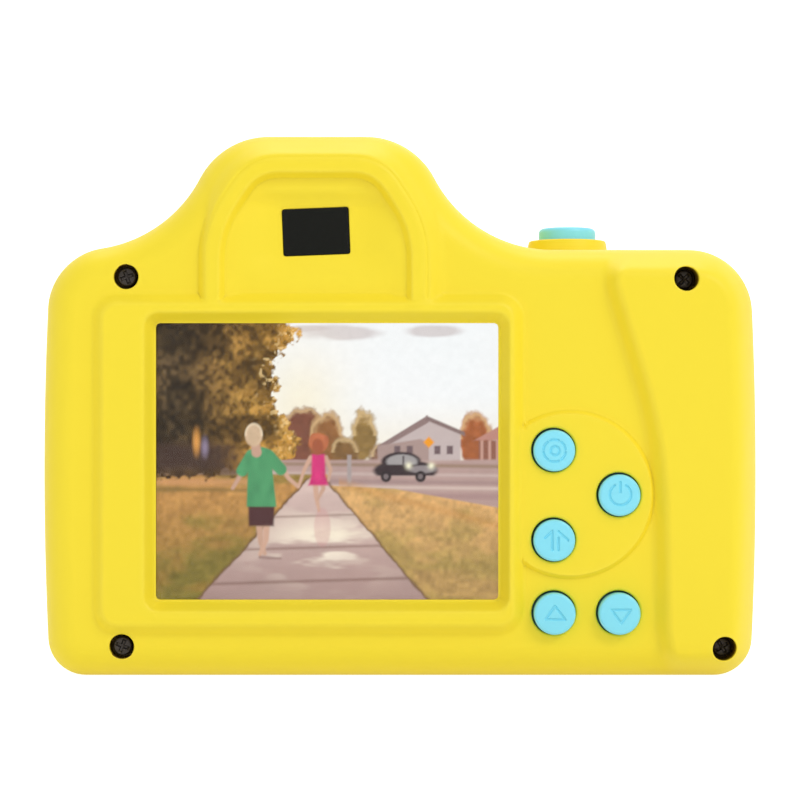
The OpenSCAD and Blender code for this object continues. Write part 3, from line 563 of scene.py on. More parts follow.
def skinMesh(curves, loops, relief, faceY, sign, gap, sparse=None):
    # closed solid: a relief over the outline, its side wall, and a flat face at the parting plane.
    # A triangulation keeps the rim rings and the features' lines as edges, with a grid in between.
    turns = np.radians(np.append(0, np.linspace(10, 90, 18)))
    rings = [outline(case["rimIn"] * (1 - math.cos(t))) for t in turns]
    count = len(rings[0])
    lines = [(c, False) for c in curves] + [(c, True) for c in loops]
    lines = [(c, closed) for c, closed in lines if len(c) > 2]
    grid = gridBetween(np.concatenate(rings[1:] + [c for c, closed in lines]), gap, sparse)
    points, edges = pathEdges(rings, lines)
    points, edges = np.concatenate(points + [grid]), np.concatenate(edges)
    result = delaunay_2d_cdt(points.tolist(), edges.tolist(), [], 0, 1e-5)
    flat = np.array([(v.x, v.y) for v in result[0]])
    # the first points given are the outline's: where the triangulation has put each of them
    sources = np.concatenate([np.array(s, int) for s in result[3]])
    places = np.repeat(np.arange(len(result[3])), [len(s) for s in result[3]])
    edge = np.zeros(count, int)
    edge[sources[sources < count]] = places[sources < count]
    flat[edge] = rings[0]
    triangles = np.array(result[2])
    centre = flat[triangles].mean(1)
    triangles = triangles[insetOf(centre[:, 0], centre[:, 1]) > 0]
    inset = insetOf(flat[:, 0], flat[:, 1])
    inset[edge] = 0
    y = faceY + sign * (rimDrop(np.maximum(inset, 0)) - relief(flat[:, 0], flat[:, 1]))
    skin = np.stack([flat[:, 0], y, flat[:, 1]], -1)
    levels = np.linspace(0, 1, 6)[1:, None, None]
    edgeRing = skin[edge][None]
    ground = ringAt(rings[0], partingY)[None]
    wall = (edgeRing + (ground - edgeRing) * levels).reshape(-1, 3)
    base = len(skin)
    order = np.concatenate([edge, base + np.arange(len(wall))])
    quads = order[gridFaces(len(levels) + 1, count)]
    floorRing = base + np.arange((len(levels) - 1) * count, len(levels) * count)
    middle = np.array([[0, partingY, case["middleZ"]]])
    lid = fan(base + len(wall), floorRing)
    points = np.concatenate([skin, wall, middle])
    # the skin's triangles, the wall and the floor have to turn the same way round
    a, b, c = flat[triangles[:, 0]], flat[triangles[:, 1]], flat[triangles[:, 2]]
    turn = (b[:, 0] - a[:, 0]) * (c[:, 1] - a[:, 1]) - (b[:, 1] - a[:, 1]) * (c[:, 0] - a[:, 0])
    triangles = np.where((turn > 0)[:, None], triangles, triangles[:, ::-1])
    return outward(points, [triangles, quads, lid[:, ::-1]])


# levels for the bend mask; the hole walls' level makes the material paint them dark as shade
edgeMask = {"step": 0.22, "gain": 0.12, "hole": -4, "near": 0.03, "holeTop": 0.25, "holeFoot": 4}


def withEdgeMask(piece, relief):
    # stores how sharply the relief bends, four times its height less that of its four neighbours: above zero
    # on raised edges, below zero in hollows, and lowest on the walls of the screw and key holes; the material paints
    # shade into the hollows and hole walls from it
    count = len(piece.data.vertices)
    co = np.zeros(count * 3, np.float32)
    piece.data.vertices.foreach_get("co", co)
    co = co.reshape(-1, 3).astype(float) / mm
    x, z, step = co[:, 0], co[:, 2], edgeMask["step"]
    around = relief(x + step, z) + relief(x - step, z) + relief(x, z + step) + relief(x, z - step)
    bend = (4 * relief(x, z) - around) / step ** 2
    level = np.clip(bend * edgeMask["gain"], -1, 1)
    deep = (co[:, 1] > rearY + edgeMask["holeTop"]) & (co[:, 1] < partingY - edgeMask["holeFoot"])
    # painted shade: the walls of the screw and key holes get the lowest level, which the material turns dark
    for spots, radius in ((screwAt, screwHole["radius"]), (keyAt.values(), keyHole["radius"])):
        for cx, cz in spots:
            level[deep & (np.abs(np.hypot(x - cx, z - cz) - radius) < edgeMask["near"])] = edgeMask["hole"]
    mask = piece.data.attributes.new("edge", "FLOAT", "POINT")
    mask.data.foreach_set("value", level.astype(np.float32))


# What both shells hold or give up inside: lip, screw bosses, board posts, ribs, door, sockets, strap pocket.
inner = {
    "lip": 1.0, "lipIn": 0.95, "bossR": 2.0, "postR": 1.4, "pilotR": 0.62, "bossEnd": partingY - 1.1,
    "door": 3.85, "doorGap": 0.15, "doorFloor": 0.3, "hingeR": 1.05, "pinR": 0.41, "pinHalf": 4.9,
    "notchX": -35.9, "notchLow": 1, "notchHigh": 1.7, "notchHalf": 1.9, "notchRound": 0.5,
    "slotX": (-36, -33), "slotGap": (0.1, 0.2),
    "strapHalf": 2.5, "strapFloor": 33.9, "strapZ": 33.5, "strapRound": 0.6, "barR": 0.71, "barGap": 0.1,
    "pads": 5.2, "doorPad": (-35.6, -33.5, 5.7, 33.0), "strapPad": (32.7, 35.8, 3.7), "skinDepth": 1.7,
    "posts": [(-20, 41.5), (3, 41.5), (28.2, 28.5), (28.2, 12.3)], "ribDepth": (1.5, 4.2),
    "ribs": [((-31.7, 38.95), (9, 39.75)), ((-26, 4.8), (9, 5.65)), ((-31.75, 9), (-30.95, 15)),
             ((-31.75, 30), (-30.95, 36))],
    "windowLap": 1.05, "windowSeat": 0.6, "windowCut": 3, "paneSeat": 1.35, "keyDepth": 2.4,
}
doorLo, doorHi = boxOf("port_door")
pinLo, pinHi = boxOf("port_door_pin")
barLo, barHi = boxOf("strap_bar")
usbLo, usbHi = boxOf("usb_socket")
cardLo, cardHi = boxOf("card_socket")
collarLo, collarHi = boxOf("shutter_collar")
shutterX = (collarLo[0] + collarHi[0]) / 2
shutter = {
    "capR": 3.05, "capRound": 0.62, "flangeR": 3.6, "stemR": 1.5, "flangeLow": 40.9, "flangeHigh": 41.5,
    "boreR": 3.2, "neckR": 3.7, "footR": 4.6, "collarR": 4.33, "collarTopR": 4.1,
    "neckGap": 0.05, "footGap": 0.2, "footDepth": 4.65, "collarGap": 0.07, "cut": (6, 2, 3),
}


def upright(x, y, radius, z0, z1, steps=96):
    # a round bar along Z
    return turned([[0, z0], [radius, z0], [radius, z1], [0, z1]], [x, y, 0], "z", steps)


def cavity(faceY, sign):
    # the hollow of a shell: the outline moved in by the wall, and further in near the face
    wall = case["wall"]
    depths = [(wall, 3.4), (wall + 0.5, 2.6), (2 * wall, wall)]
    rings = [ringAt(outline(inset, 1.2), faceY + sign * depth) for depth, inset in depths]
    return loft(rings + [ringAt(outline(wall, 1.2), partingY + sign)])


def sidePads(y0, y1):
    # thicker wall behind the door and the strap pocket
    doorX0, doorX1, doorZ0, doorZ1 = inner["doorPad"]
    strapX0, strapX1, reach = inner["strapPad"]
    return [block((doorX0, y0, doorZ0), (doorX1, y1, doorZ1)),
            block((strapX0, y0, inner["strapZ"] - reach), (strapX1, y1, inner["strapZ"] + reach))]


def cutSides(piece):
    # door opening, its hinge channel and finger notch, socket slots, strap pocket, shutter collar
    half, gap, beyond = inner["door"], inner["doorGap"], case["beyond"]
    hingeX, hingeZ = (pinLo[0] + pinHi[0]) / 2, (pinLo[2] + pinHi[2]) / 2
    carve(piece, block((-beyond, partingY - half, doorLo[2] - inner["doorFloor"]),
                       (doorHi[0] + gap, partingY + half, doorHi[2] + gap)))
    carve(piece, rod(hingeX, hingeZ, inner["hingeR"], partingY - half, partingY + half))
    pinHalf = inner["pinHalf"]
    carve(piece, rod(hingeX, hingeZ, inner["pinR"], partingY - pinHalf, partingY + pinHalf, 24))
    notch = roundedBox((-beyond, doorHi[2] - inner["notchLow"]),
                       (inner["notchX"], doorHi[2] + inner["notchHigh"]), inner["notchRound"])
    carve(piece, prism(notch, partingY - inner["notchHalf"], partingY + inner["notchHalf"]))
    (slotX0, slotX1), (slotY, slotZ) = inner["slotX"], inner["slotGap"]
    for lo, hi in ((usbLo, usbHi), (cardLo, cardHi)):
        carve(piece, block((slotX0, lo[1] - slotY, lo[2] - slotZ), (slotX1, hi[1] + slotY, hi[2] + slotZ)))
    strapHalf, strapZ = inner["strapHalf"], inner["strapZ"]
    pocket = roundedBox((inner["strapFloor"], strapZ - strapHalf), (beyond, strapZ + strapHalf),
                        inner["strapRound"])
    carve(piece, prism(pocket, partingY - strapHalf, partingY + strapHalf))
    barX, barZ = (barLo[0] + barHi[0]) / 2, (barLo[2] + barHi[2]) / 2
    carve(piece, rod(barX, barZ, inner["barR"], barLo[1] - inner["barGap"], barHi[1] + inner["barGap"], 32))
    shoulder, (below, above, top) = case["shoulderZ"], shutter["cut"]
    for radius, z0, z1 in (
            (shutter["neckR"] + shutter["neckGap"], shoulder - below, shoulder + above),
            (shutter["footR"] + shutter["footGap"], shoulder - shutter["footDepth"], shoulder - case["wall"]),
            (shutter["collarR"] + shutter["collarGap"], shoulder, shoulder + top)):
        carve(piece, upright(shutterX, partingY, radius, z0, z1))


def makeRearShell():
    # the relief's solid hollowed out, with bosses, posts and ribs added, then cut for everything it lets through
    curves, loops = rearCurves()
    picture = lambda x, z: boxDistance(x, z, pictureLo, pictureHi, 0.4) < -0.3
    piece = makePiece("rearShell", skinMesh(curves, loops, rearRelief, rearY, 1, 0.45, picture))
    carve(piece, cavity(rearY, 1))
    boardY, lipY, skinY = boxOf("main_board")[0][1], inner["bossEnd"], rearY + inner["skinDepth"]
    for x, z in screwAt:
        carve(piece, rod(x, z, inner["bossR"] + 0.1, skinY, lipY, 48), "UNION")
    for x, z in inner["posts"]:
        carve(piece, rod(x, z, inner["postR"], skinY, boardY, 36), "UNION")
    ribY0, ribY1 = inner["ribDepth"]
    for (x0, z0), (x1, z1) in inner["ribs"]:
        carve(piece, block((x0, rearY + ribY0, z0), (x1, rearY + ribY1, z1)), "UNION")
    for pad in sidePads(partingY - inner["pads"], partingY):
        carve(piece, pad, "UNION")
    cutSides(piece)
    lap, cut = inner["windowLap"], inner["windowCut"]
    carve(piece, prism(roundedBox(pictureLo, pictureHi, surround["openingCorner"], 1.0), rearY - cut, rearY + 1))
    carve(piece, block((pictureLo[0] - lap, rearY + inner["windowSeat"], pictureLo[1] - lap),
                       (pictureHi[0] + lap, rearY + cut, pictureHi[1] + lap)))
    half = np.array(eyepiece["size"]) / 2 + eyepiece["gap"]
    eye = prism(roundedBox(-half, half, 0.25, 0.4), rearY - cut, rearY + inner["paneSeat"])
    carve(piece, tilted(eye, middleOf("eyepiece_window")))
    for x, z in keyAt.values():
        carve(piece, rod(x, z, keyHole["radius"], rearY - cut, rearY + inner["keyDepth"], 120))
    seat = rearY + screwHole["seat"]
    for x, z in screwAt:
        carve(piece, rod(x, z, screwHole["radius"], rearY - cut, seat, 84))
        carve(piece, rod(x, z, screwHole["clearance"], seat - 0.5, lipY + 1, 36))
    for x, z in inner["posts"]:
        carve(piece, rod(x, z, inner["pilotR"], boardY - 4, boardY + 1, 24))
    shade(piece, 32)
    withEdgeMask(piece, rearRelief)
    return piece


eyepiece = {"skew": 2.3, "size": (6.78, 4.76), "gap": 0.06}


def tilted(solid, centre):
    # turned slightly in the rear face's plane and moved to a centre: x cos - z sin, x sin + z cos
    points, faces = solid
    a = math.radians(eyepiece["skew"])
    x, z = points[:, 0], points[:, 2]
    moved = [centre[0] + x * math.cos(a) - z * math.sin(a), points[:, 1],
             centre[2] + x * math.sin(a) + z * math.cos(a)]
    return np.stack(moved, -1), faces


lensMid = middleOf("lens_barrel")
lensAt = np.array([lensMid[0], lensMid[2]])
barrelLo, barrelHi = boxOf("lens_barrel")
front = {
    "bossR": 15.6, "bossH": 3.0, "bossRound": 0.9, "lensHole": 12.6,
    "gripLo": np.array([21.0, 5.0]), "gripHi": np.array([33.0, 38.5]), "gripCorner": 5.5,
    "gripH": 3.6, "gripSlope": 5.0, "gripIn": 2.0, "padLo": np.array([-16.6, 42.4]),
    "padHi": np.array([-0.6, 52.0]), "padH": 0.5, "padCorner": 2.4, "flashHalf": (4.7, 2.7), "flashCorner": 0.7,
    "grilleR": 0.55, "grilleGap": 2.0, "micR": 0.5, "holeLip": 0.18, "boltX": 15.2, "boltR": 1.5, "boltEnd": 1.4,
    "cupR": 5.2, "cupIn": 4.7, "cupEnd": 4.5,
}
flashAt = middleOf("flash_window")[[0, 2]]
speakerAt = middleOf("speaker")[[0, 2]]
micAt = middleOf("microphone")[[0, 2]]
grilleAt = [speakerAt] + [speakerAt + front["grilleGap"] * np.array([math.cos(a), math.sin(a)])
                          for a in np.radians(np.arange(0, 360, 60))]


def frontRelief(x, z):
    # lens boss with a rounded edge and a soft foot, a domed finger grip and a low panel round the flash, joined
    # like the rear face's rises; every distance is taken inwards from the feature's edge
    r = front["bossR"] - np.hypot(x - lensAt[0], z - lensAt[1])
    t = np.clip(1 - r / front["bossRound"], 0, 1)
    foot = 0.35 * np.clip(1 + r / 0.8, 0, 1) ** 2
    boss = np.where(r > 0, front["bossH"] - front["bossRound"] * (1 - np.sqrt(1 - t ** 2)), foot)
    g = -boxDistance(x, z, front["gripLo"], front["gripHi"], front["gripCorner"])
    t = np.clip(1 - g / front["gripSlope"], 0, 1)
    grip = np.where(g > 0, front["gripH"] * np.sqrt(np.maximum(1 - t ** 2, 0)), 0)
    grip = grip * np.where(g > 0, slope(g / 0.9, 0.45), 0)
    p = -boxDistance(x, z, front["padLo"], front["padHi"], front["padCorner"])
    pad = front["padH"] * slope(p / 0.8, 0.3)
    relief = (boss ** 6 + grip ** 6 + pad ** 6) ** (1 / 6)
    relief = relief - holeLip(x, z, grilleAt, front["grilleR"], front["holeLip"])
    return relief - holeLip(x, z, [micAt], front["micR"], front["holeLip"])


def gripHollow():
    # the grip's own hollow: its outline moved in by more and more towards the front, with equal point counts
    inset, corner = front["gripIn"], front["gripCorner"] - 1.5
    rings = [roundedBox(front["gripLo"] + inset + d, front["gripHi"] - inset - d, corner - d, 1.5)
             for d in (0.0, 0.0, 0.8, 1.6)]
    count = min(len(ring) for ring in rings)
    rings = [ring[np.linspace(0, len(ring), count, endpoint=False).astype(int)] for ring in rings]
    heights = (frontY - 2.4, frontY - 0.4, frontY + 0.9, frontY + 1.4)
    return loft([ringAt(ring, y) for ring, y in zip(rings, heights)])


def makeFrontShell():
    # the relief's solid hollowed out, with the lip, bosses and speaker cup added, then cut for lens and holes
    bossSteps = [-1.2, -0.9, -0.65, -0.42, -0.24, -0.1, -0.02, 0.03, 0.25, 0.5, 0.8]
    loops = ringsRound([lensAt], front["bossR"], bossSteps, 200)
    loops += ringsRound([lensAt], front["lensHole"], [-0.1, 0.1], 160)
    for g in [-0.15, 0.0, 0.12, 0.25, 0.4, 0.6, 0.8, 1.05, 1.4, 1.9, 2.5, 3.2, 4.0, 4.9]:
        corner = max(front["gripCorner"] - g, 0.6)
        loops.append(roundedBox(front["gripLo"] + g, front["gripHi"] - g, corner, 0.45))
    for p in [-0.12, 0, 0.15, 0.4, 0.65, 0.8, 0.95]:
        loops.append(roundedBox(front["padLo"] + p, front["padHi"] - p, front["padCorner"] - p, 0.4))
    loops += ringsRound(grilleAt + [micAt], front["grilleR"], [-0.04, 0.03, 0.08, 0.14, 0.22], 36)
    inLens = lambda x, z: np.hypot(x - lensAt[0], z - lensAt[1]) < front["lensHole"] - 0.4
    piece = makePiece("frontShell", skinMesh([], loops, frontRelief, frontY, -1, 0.6, inLens))
    carve(piece, cavity(frontY, -1))
    carve(piece, gripHollow())
    carve(piece, prism(outline(inner["lipIn"], 1.2), partingY - inner["lip"], partingY + 0.6), "UNION")
    carve(piece, prism(outline(case["wall"], 1.2), partingY - 2, partingY + 1))
    skinY = frontY - 1.3
    for x, z in screwAt:
        carve(piece, rod(x, z, inner["bossR"], inner["bossEnd"] + 0.05, skinY, 48), "UNION")
    for side in (-1, 1):
        bolt = rod(lensAt[0] + side * front["boltX"], lensAt[1], front["boltR"], front["boltEnd"], skinY, 36)
        carve(piece, bolt, "UNION")
    for pad in sidePads(partingY, partingY + inner["pads"]):
        carve(piece, pad, "UNION")
    cupEnd, wallY = front["cupEnd"], frontY - case["wall"]
    carve(piece, rod(speakerAt[0], speakerAt[1], front["cupR"], cupEnd, skinY, 60), "UNION")
    carve(piece, rod(speakerAt[0], speakerAt[1], front["cupIn"], cupEnd - 0.5, wallY, 60))
    cutSides(piece)
    carve(piece, rod(lensAt[0], lensAt[1], front["lensHole"], 0, frontY + 6, 160))
    flash = roundedBox(flashAt - front["flashHalf"], flashAt + front["flashHalf"], front["flashCorner"], 0.5)
    carve(piece, prism(flash, frontY - 3, frontY + 2))
    for x, z in screwAt:
        carve(piece, rod(x, z, inner["pilotR"], inner["bossEnd"] - 1, 1.5, 24))
    for x, z in grilleAt:
        carve(piece, rod(x, z, front["grilleR"], frontY - 3, frontY + 2, 40))
    carve(piece, rod(micAt[0], micAt[1], front["micR"], frontY - 3, frontY + 2, 36))
    shade(piece, 32)
    withEdgeMask(piece, frontRelief)
    return piece


print("shells")
rearShell = makeRearShell()
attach(rearShell, "case")
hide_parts("rear_shell")
frontShell = makeFrontShell()
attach(frontShell, "case")
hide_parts("front_shell")

# A sign is a list of strokes: rings by centre, radius, first and last angle, and lines by their two ends.
key = {
    "radius": 2.12, "flange": 2.9, "flangeEdge": 0.1, "play": (0.06, -0.05), "round": 0.32, "dome": 0.08,
    "stroke": 0.15, "soft": 0.1, "depth": 0.17,
}
signs = {
    "menu": [("ring", 0, 0, 1.12, first, first + 44) for first in (68, 128, 188, 248, 308, 8)]
    + [("ring", 0.05, 0, 0.45, 0, 360)],
    "power": [("ring", 0.05, 0.1, 1.08, 122, 418), ("line", 0.05, 0.35, 0.05, 1.35)],
    "playback": [("line", -0.22, -0.95, -0.22, 0.98), ("line", -0.22, 0.98, -0.98, 0.28),
                 ("line", 0.4, 0.95, 1.38, 0.05), ("line", 0.4, -0.95, 0.4, 0.3)],
    "up": [("line", -0.95, -0.5, 0, 0.85), ("line", 0, 0.85, 1.05, -0.55), ("line", 1.05, -0.55, -0.95, -0.5)],
    "down": [("line", -0.85, 0.45, 1.1, 0.45), ("line", 1.1, 0.45, 0.15, -0.9),
             ("line", 0.15, -0.9, -0.85, 0.45)],
}


def strokeDistance(x, z, stroke):
    # distance to a line from (a, b) to (c, d), or to the part of a ring of radius c between two angles
    kind, a, b, c, d = stroke[:5]
    if kind == "line":
        along = np.array([c - a, d - b])
        t = np.clip(((x - a) * along[0] + (z - b) * along[1]) / (along @ along), 0, 1)
        return np.hypot(x - a - t * along[0], z - b - t * along[1])
    r, angle = np.hypot(x - a, z - b), np.degrees(np.arctan2(z - b, x - a))
    first, last = d, stroke[5]
    turn = (angle - first) % 360
    ends = [np.hypot(x - a - c * math.cos(e), z - b - c * math.sin(e)) for e in np.radians((first, last))]
    return np.where(turn <= last - first, np.abs(r - c), np.minimum(*ends))


def stampedCap(centre, topY, radius, rise, dent, steps=168, rings=44):
    # a round cap's grid: rings out to its rounded edge, at depth topY + rise (r / radius)^2 + dent
    edge = key["round"]
    share = np.linspace(0, 1, rings + 1)[1:, None]
    r = (radius - edge) * share
    angle = np.arange(steps)[None, :] * 2 * np.pi / steps
    x, z = r * np.cos(angle), r * np.sin(angle)
    y = topY + rise * (r / radius) ** 2 + dent(x, z)
    corner = np.radians(np.linspace(15, 90, 6))[:, None]
    cr = radius - edge + edge * np.sin(corner)
    cy = topY + rise * ((radius - edge) / radius) ** 2 + edge * (1 - np.cos(corner))
    x = np.concatenate([x, cr * np.cos(angle)])
    z = np.concatenate([z, cr * np.sin(angle)])
    y = np.concatenate([y, np.broadcast_to(cy, (len(cr), steps))])
    return x + centre[0], y, z + centre[1], topY + dent(np.zeros(1), np.zeros(1))[0]


def cappedSolid(cap, centre, skirt, endY):
    # a stamped cap continued by rings of a skirt, each a radius and a depth, and closed at endY
    x, y, z, top = cap
    steps = x.shape[1]
    angle = np.arange(steps) * 2 * np.pi / steps
    rows = [np.stack([x, y, z], -1)]
    for radius, depth in skirt:
        ring = [centre[0] + radius * np.cos(angle), np.full(steps, depth), centre[1] + radius * np.sin(angle)]
        rows.append(np.stack(ring, -1)[None])
    rows = np.concatenate(rows)
    count = len(rows) * steps
    points = np.concatenate([rows.reshape(-1, 3), [[centre[0], top, centre[1]], [centre[0], endY, centre[1]]]])
    faces = [gridFaces(len(rows), steps), fan(count, np.arange(steps)),
             fan(count + 1, np.arange(steps)[::-1] + count - steps)]
    return outward(points, faces)


def makeKey(name):
    # a stamped cap on a skirt that widens to a flange behind the rear face
    node = "button_" + name
    lo, hi = boxOf(node)
    centre = keyAt[name] + key["play"]

    def dent(x, z):
        away = np.min([strokeDistance(x, z, s) for s in signs[name]], 0)
        return key["depth"] * (1 - ease((away - key["stroke"] + key["soft"]) / key["soft"]))

    cap = stampedCap(centre, lo[1], key["radius"], key["dome"], dent)
    gap, edge, flange = 0.05, key["flangeEdge"], key["flange"]
    flangeY = rearY + case["wall"] + gap
    skirt = [(key["radius"], flangeY - gap), (key["radius"] + gap, flangeY), (flange - edge, flangeY),
             (flange, flangeY + edge), (flange, hi[1] - edge), (flange - edge, hi[1])]
    piece = makePiece("key" + name.capitalize(), cappedSolid(cap, centre, skirt, hi[1]), 40)
    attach(piece, "key_" + name)
    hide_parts(node)
    return piece


print("keys")
keyPieces = [makeKey(k) for k in keyNames]

screw = {
    "headR": 1.02, "armLong": 0.66, "armHalf": 0.16, "recess": 0.5, "dome": 0.16, "turns": (20, 48, 70, 33),
    "shankR": 0.6, "thread": 0.12, "threadFrom": 0.3, "threadTo": 11.2, "threadSteps": 56, "tip": 12.0,
}


def makeScrews():
    # four cheese heads with cross recesses, on shanks whose radius goes in and out like a thread's
    solids = []
    for (x, z), turn in zip(screwAt, screw["turns"]):
        a = math.radians(turn)

        def recess(u, v):
            p, q = np.abs(u * math.cos(a) + v * math.sin(a)), np.abs(v * math.cos(a) - u * math.sin(a))
            arm = np.minimum(np.maximum(p / screw["armLong"], q / screw["armHalf"]),
                             np.maximum(q / screw["armLong"], p / screw["armHalf"]))
            cone = 1 - 0.6 * np.hypot(u, v) / screw["armLong"]
            return screw["recess"] * cone * (1 - ease((arm - 0.75) / 0.5))

        seat = rearY + screwHole["seat"]
        cap = stampedCap((x, z), screwLo[1], screw["headR"], screw["dome"], recess, 96, 34)
        skirt = [(screw["headR"], seat - 0.02), (screw["headR"] - 0.03, seat), (screw["shankR"], seat)]
        thread = np.linspace(seat + screw["threadFrom"], seat + screw["threadTo"], screw["threadSteps"])
        skirt += [(screw["shankR"] - (screw["thread"] if i % 2 else 0.0), y) for i, y in enumerate(thread)]
        skirt.append((screw["shankR"] / 2, seat + screw["tip"]))
        solids.append(cappedSolid(cap, (x, z), skirt, seat + screw["tip"]))
    return makePiece("caseScrews", joined(*solids), 40)


print("screws")
caseScrews = makeScrews()
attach(caseScrews, "case")
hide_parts("case_screws")


def makeShutter():
    # a turned button: stem, flange under the collar, and a cap with a low dome
    lo, hi = boxOf("shutter_button")
    capR, stemR, flangeR = shutter["capR"], shutter["stemR"], shutter["flangeR"]
    low, high = shutter["flangeLow"], shutter["flangeHigh"]
    corners = [[0, lo[2]], [stemR, lo[2]], [stemR, low], [flangeR, low], [flangeR, high], [capR, high],
               [capR, hi[2] - 0.05], [0, hi[2]]]
    profile = filleted(corners, [0, 0.2, 0, 0.15, 0.15, 0, shutter["capRound"], 0], steps=9)
    dome = np.linspace(capR - shutter["capRound"] - 0.15, 0.3, 7)
    profile = np.concatenate([profile[:-1], [[r, hi[2] - 0.05 * (r / capR) ** 2] for r in dome], profile[-1:]])
    return makePiece("shutterButton", turned(profile, [shutterX, partingY, 0], "z", 120), 40)


def makeCollar():
    # a turned ring: foot inside the shells, neck through their wall, and a slightly tapered top
    shoulder, top = case["shoulderZ"], collarHi[2]
    bore, neck, foot, base = (shutter[k] for k in ("boreR", "neckR", "footR", "collarR"))
    corners = [[bore, collarLo[2]], [foot, collarLo[2]], [foot, shoulder - case["wall"]],
               [neck, shoulder - case["wall"]], [neck, shoulder], [base, shoulder],
               [shutter["collarTopR"], top], [bore, top]]
    profile = filleted(corners, [0.1, 0.1, 0.1, 0, 0, 0.06, 0.24, 0.2], closed=True, steps=6)
    return makePiece("shutterCollar", turned(profile, [shutterX, partingY, 0], "z", 120), 40)


print("shutter")
shutterButton = makeShutter()
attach(shutterButton, "shutter")
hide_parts("shutter_button")
shutterCollar = makeCollar()
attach(shutterCollar, "case")
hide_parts("shutter_collar")


def pane(lo, hi, corner, y0, y1, bevel, gap=0.8):
    # flat plate with rounded corners and a small bevel round both faces
    rows = []
    for inset, y in ((bevel, y0), (bevel * 0.3, y0 + bevel * 0.3), (0, y0 + bevel), (0, y1 - bevel),
                     (bevel * 0.3, y1 - bevel * 0.3), (bevel, y1)):
        flat = roundedBox(np.asarray(lo), np.asarray(hi), corner, gap)
        centre = (np.asarray(lo) + np.asarray(hi)) / 2
        half = (np.asarray(hi) - np.asarray(lo)) / 2
        rows.append(ringAt(centre + (flat - centre) * (1 - inset / half), y))
    return loft(rows)


def makeEyepiece():
    # the dark pane in its slightly turned opening
    lo, hi = boxOf("eyepiece_window")
    half = np.array(eyepiece["size"]) / 2
    plate = pane(-half, half, 0.2, lo[1], hi[1], 0.08, 0.5)
    return makePiece("eyepiecePane", tilted(plate, (lo + hi) / 2), 12)


def makeWindow():
    # the clear plate over the display
    lo, hi = boxOf("screen_window")
    return makePiece("displayWindow", pane(lo[[0, 2]], hi[[0, 2]], 0.6, lo[1], hi[1], 0.08), 12)


print("panes")
eyepiecePane = makeEyepiece()
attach(eyepiecePane, "case")
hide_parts("eyepiece_window")
displayWindow = makeWindow()
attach(displayWindow, "case")
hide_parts("screen_window")

picture = {"columns": 330, "rows": 266, "thick": 0.12, "margin": 0.07, "seed": 11}


def lattice(x, y, size, seed):
    # smooth random field: values on a square lattice, eased between its corners
    values = np.random.RandomState(seed).rand(64, 64)
    u, v = x / size, y / size
    i, j = np.floor(u).astype(int), np.floor(v).astype(int)
    s, t = ease(u - i), ease(v - j)
    at = lambda a, b: values[a % 64, b % 64]
    low = at(i, j) * (1 - s) + at(i + 1, j) * s
    high = at(i, j + 1) * (1 - s) + at(i + 1, j + 1) * s
    return low * (1 - t) + high * t


def cloudy(x, y, size, seed, octaves=4):
    # lattices at halving sizes and halving strengths, summed and brought back to the range 0 to 1
    total = sum(lattice(x, y, size / 2 ** k, seed + k) / 2 ** k for k in range(octaves))
    return total / sum(1 / 2 ** k for k in range(octaves))


def tint(*rgb):
    # display colour, from 0 to 255, as linear light
    c = np.array(rgb, float) / 255
    return np.where(c <= 0.04045, c / 12.92, ((c + 0.055) / 1.055) ** 2.4)


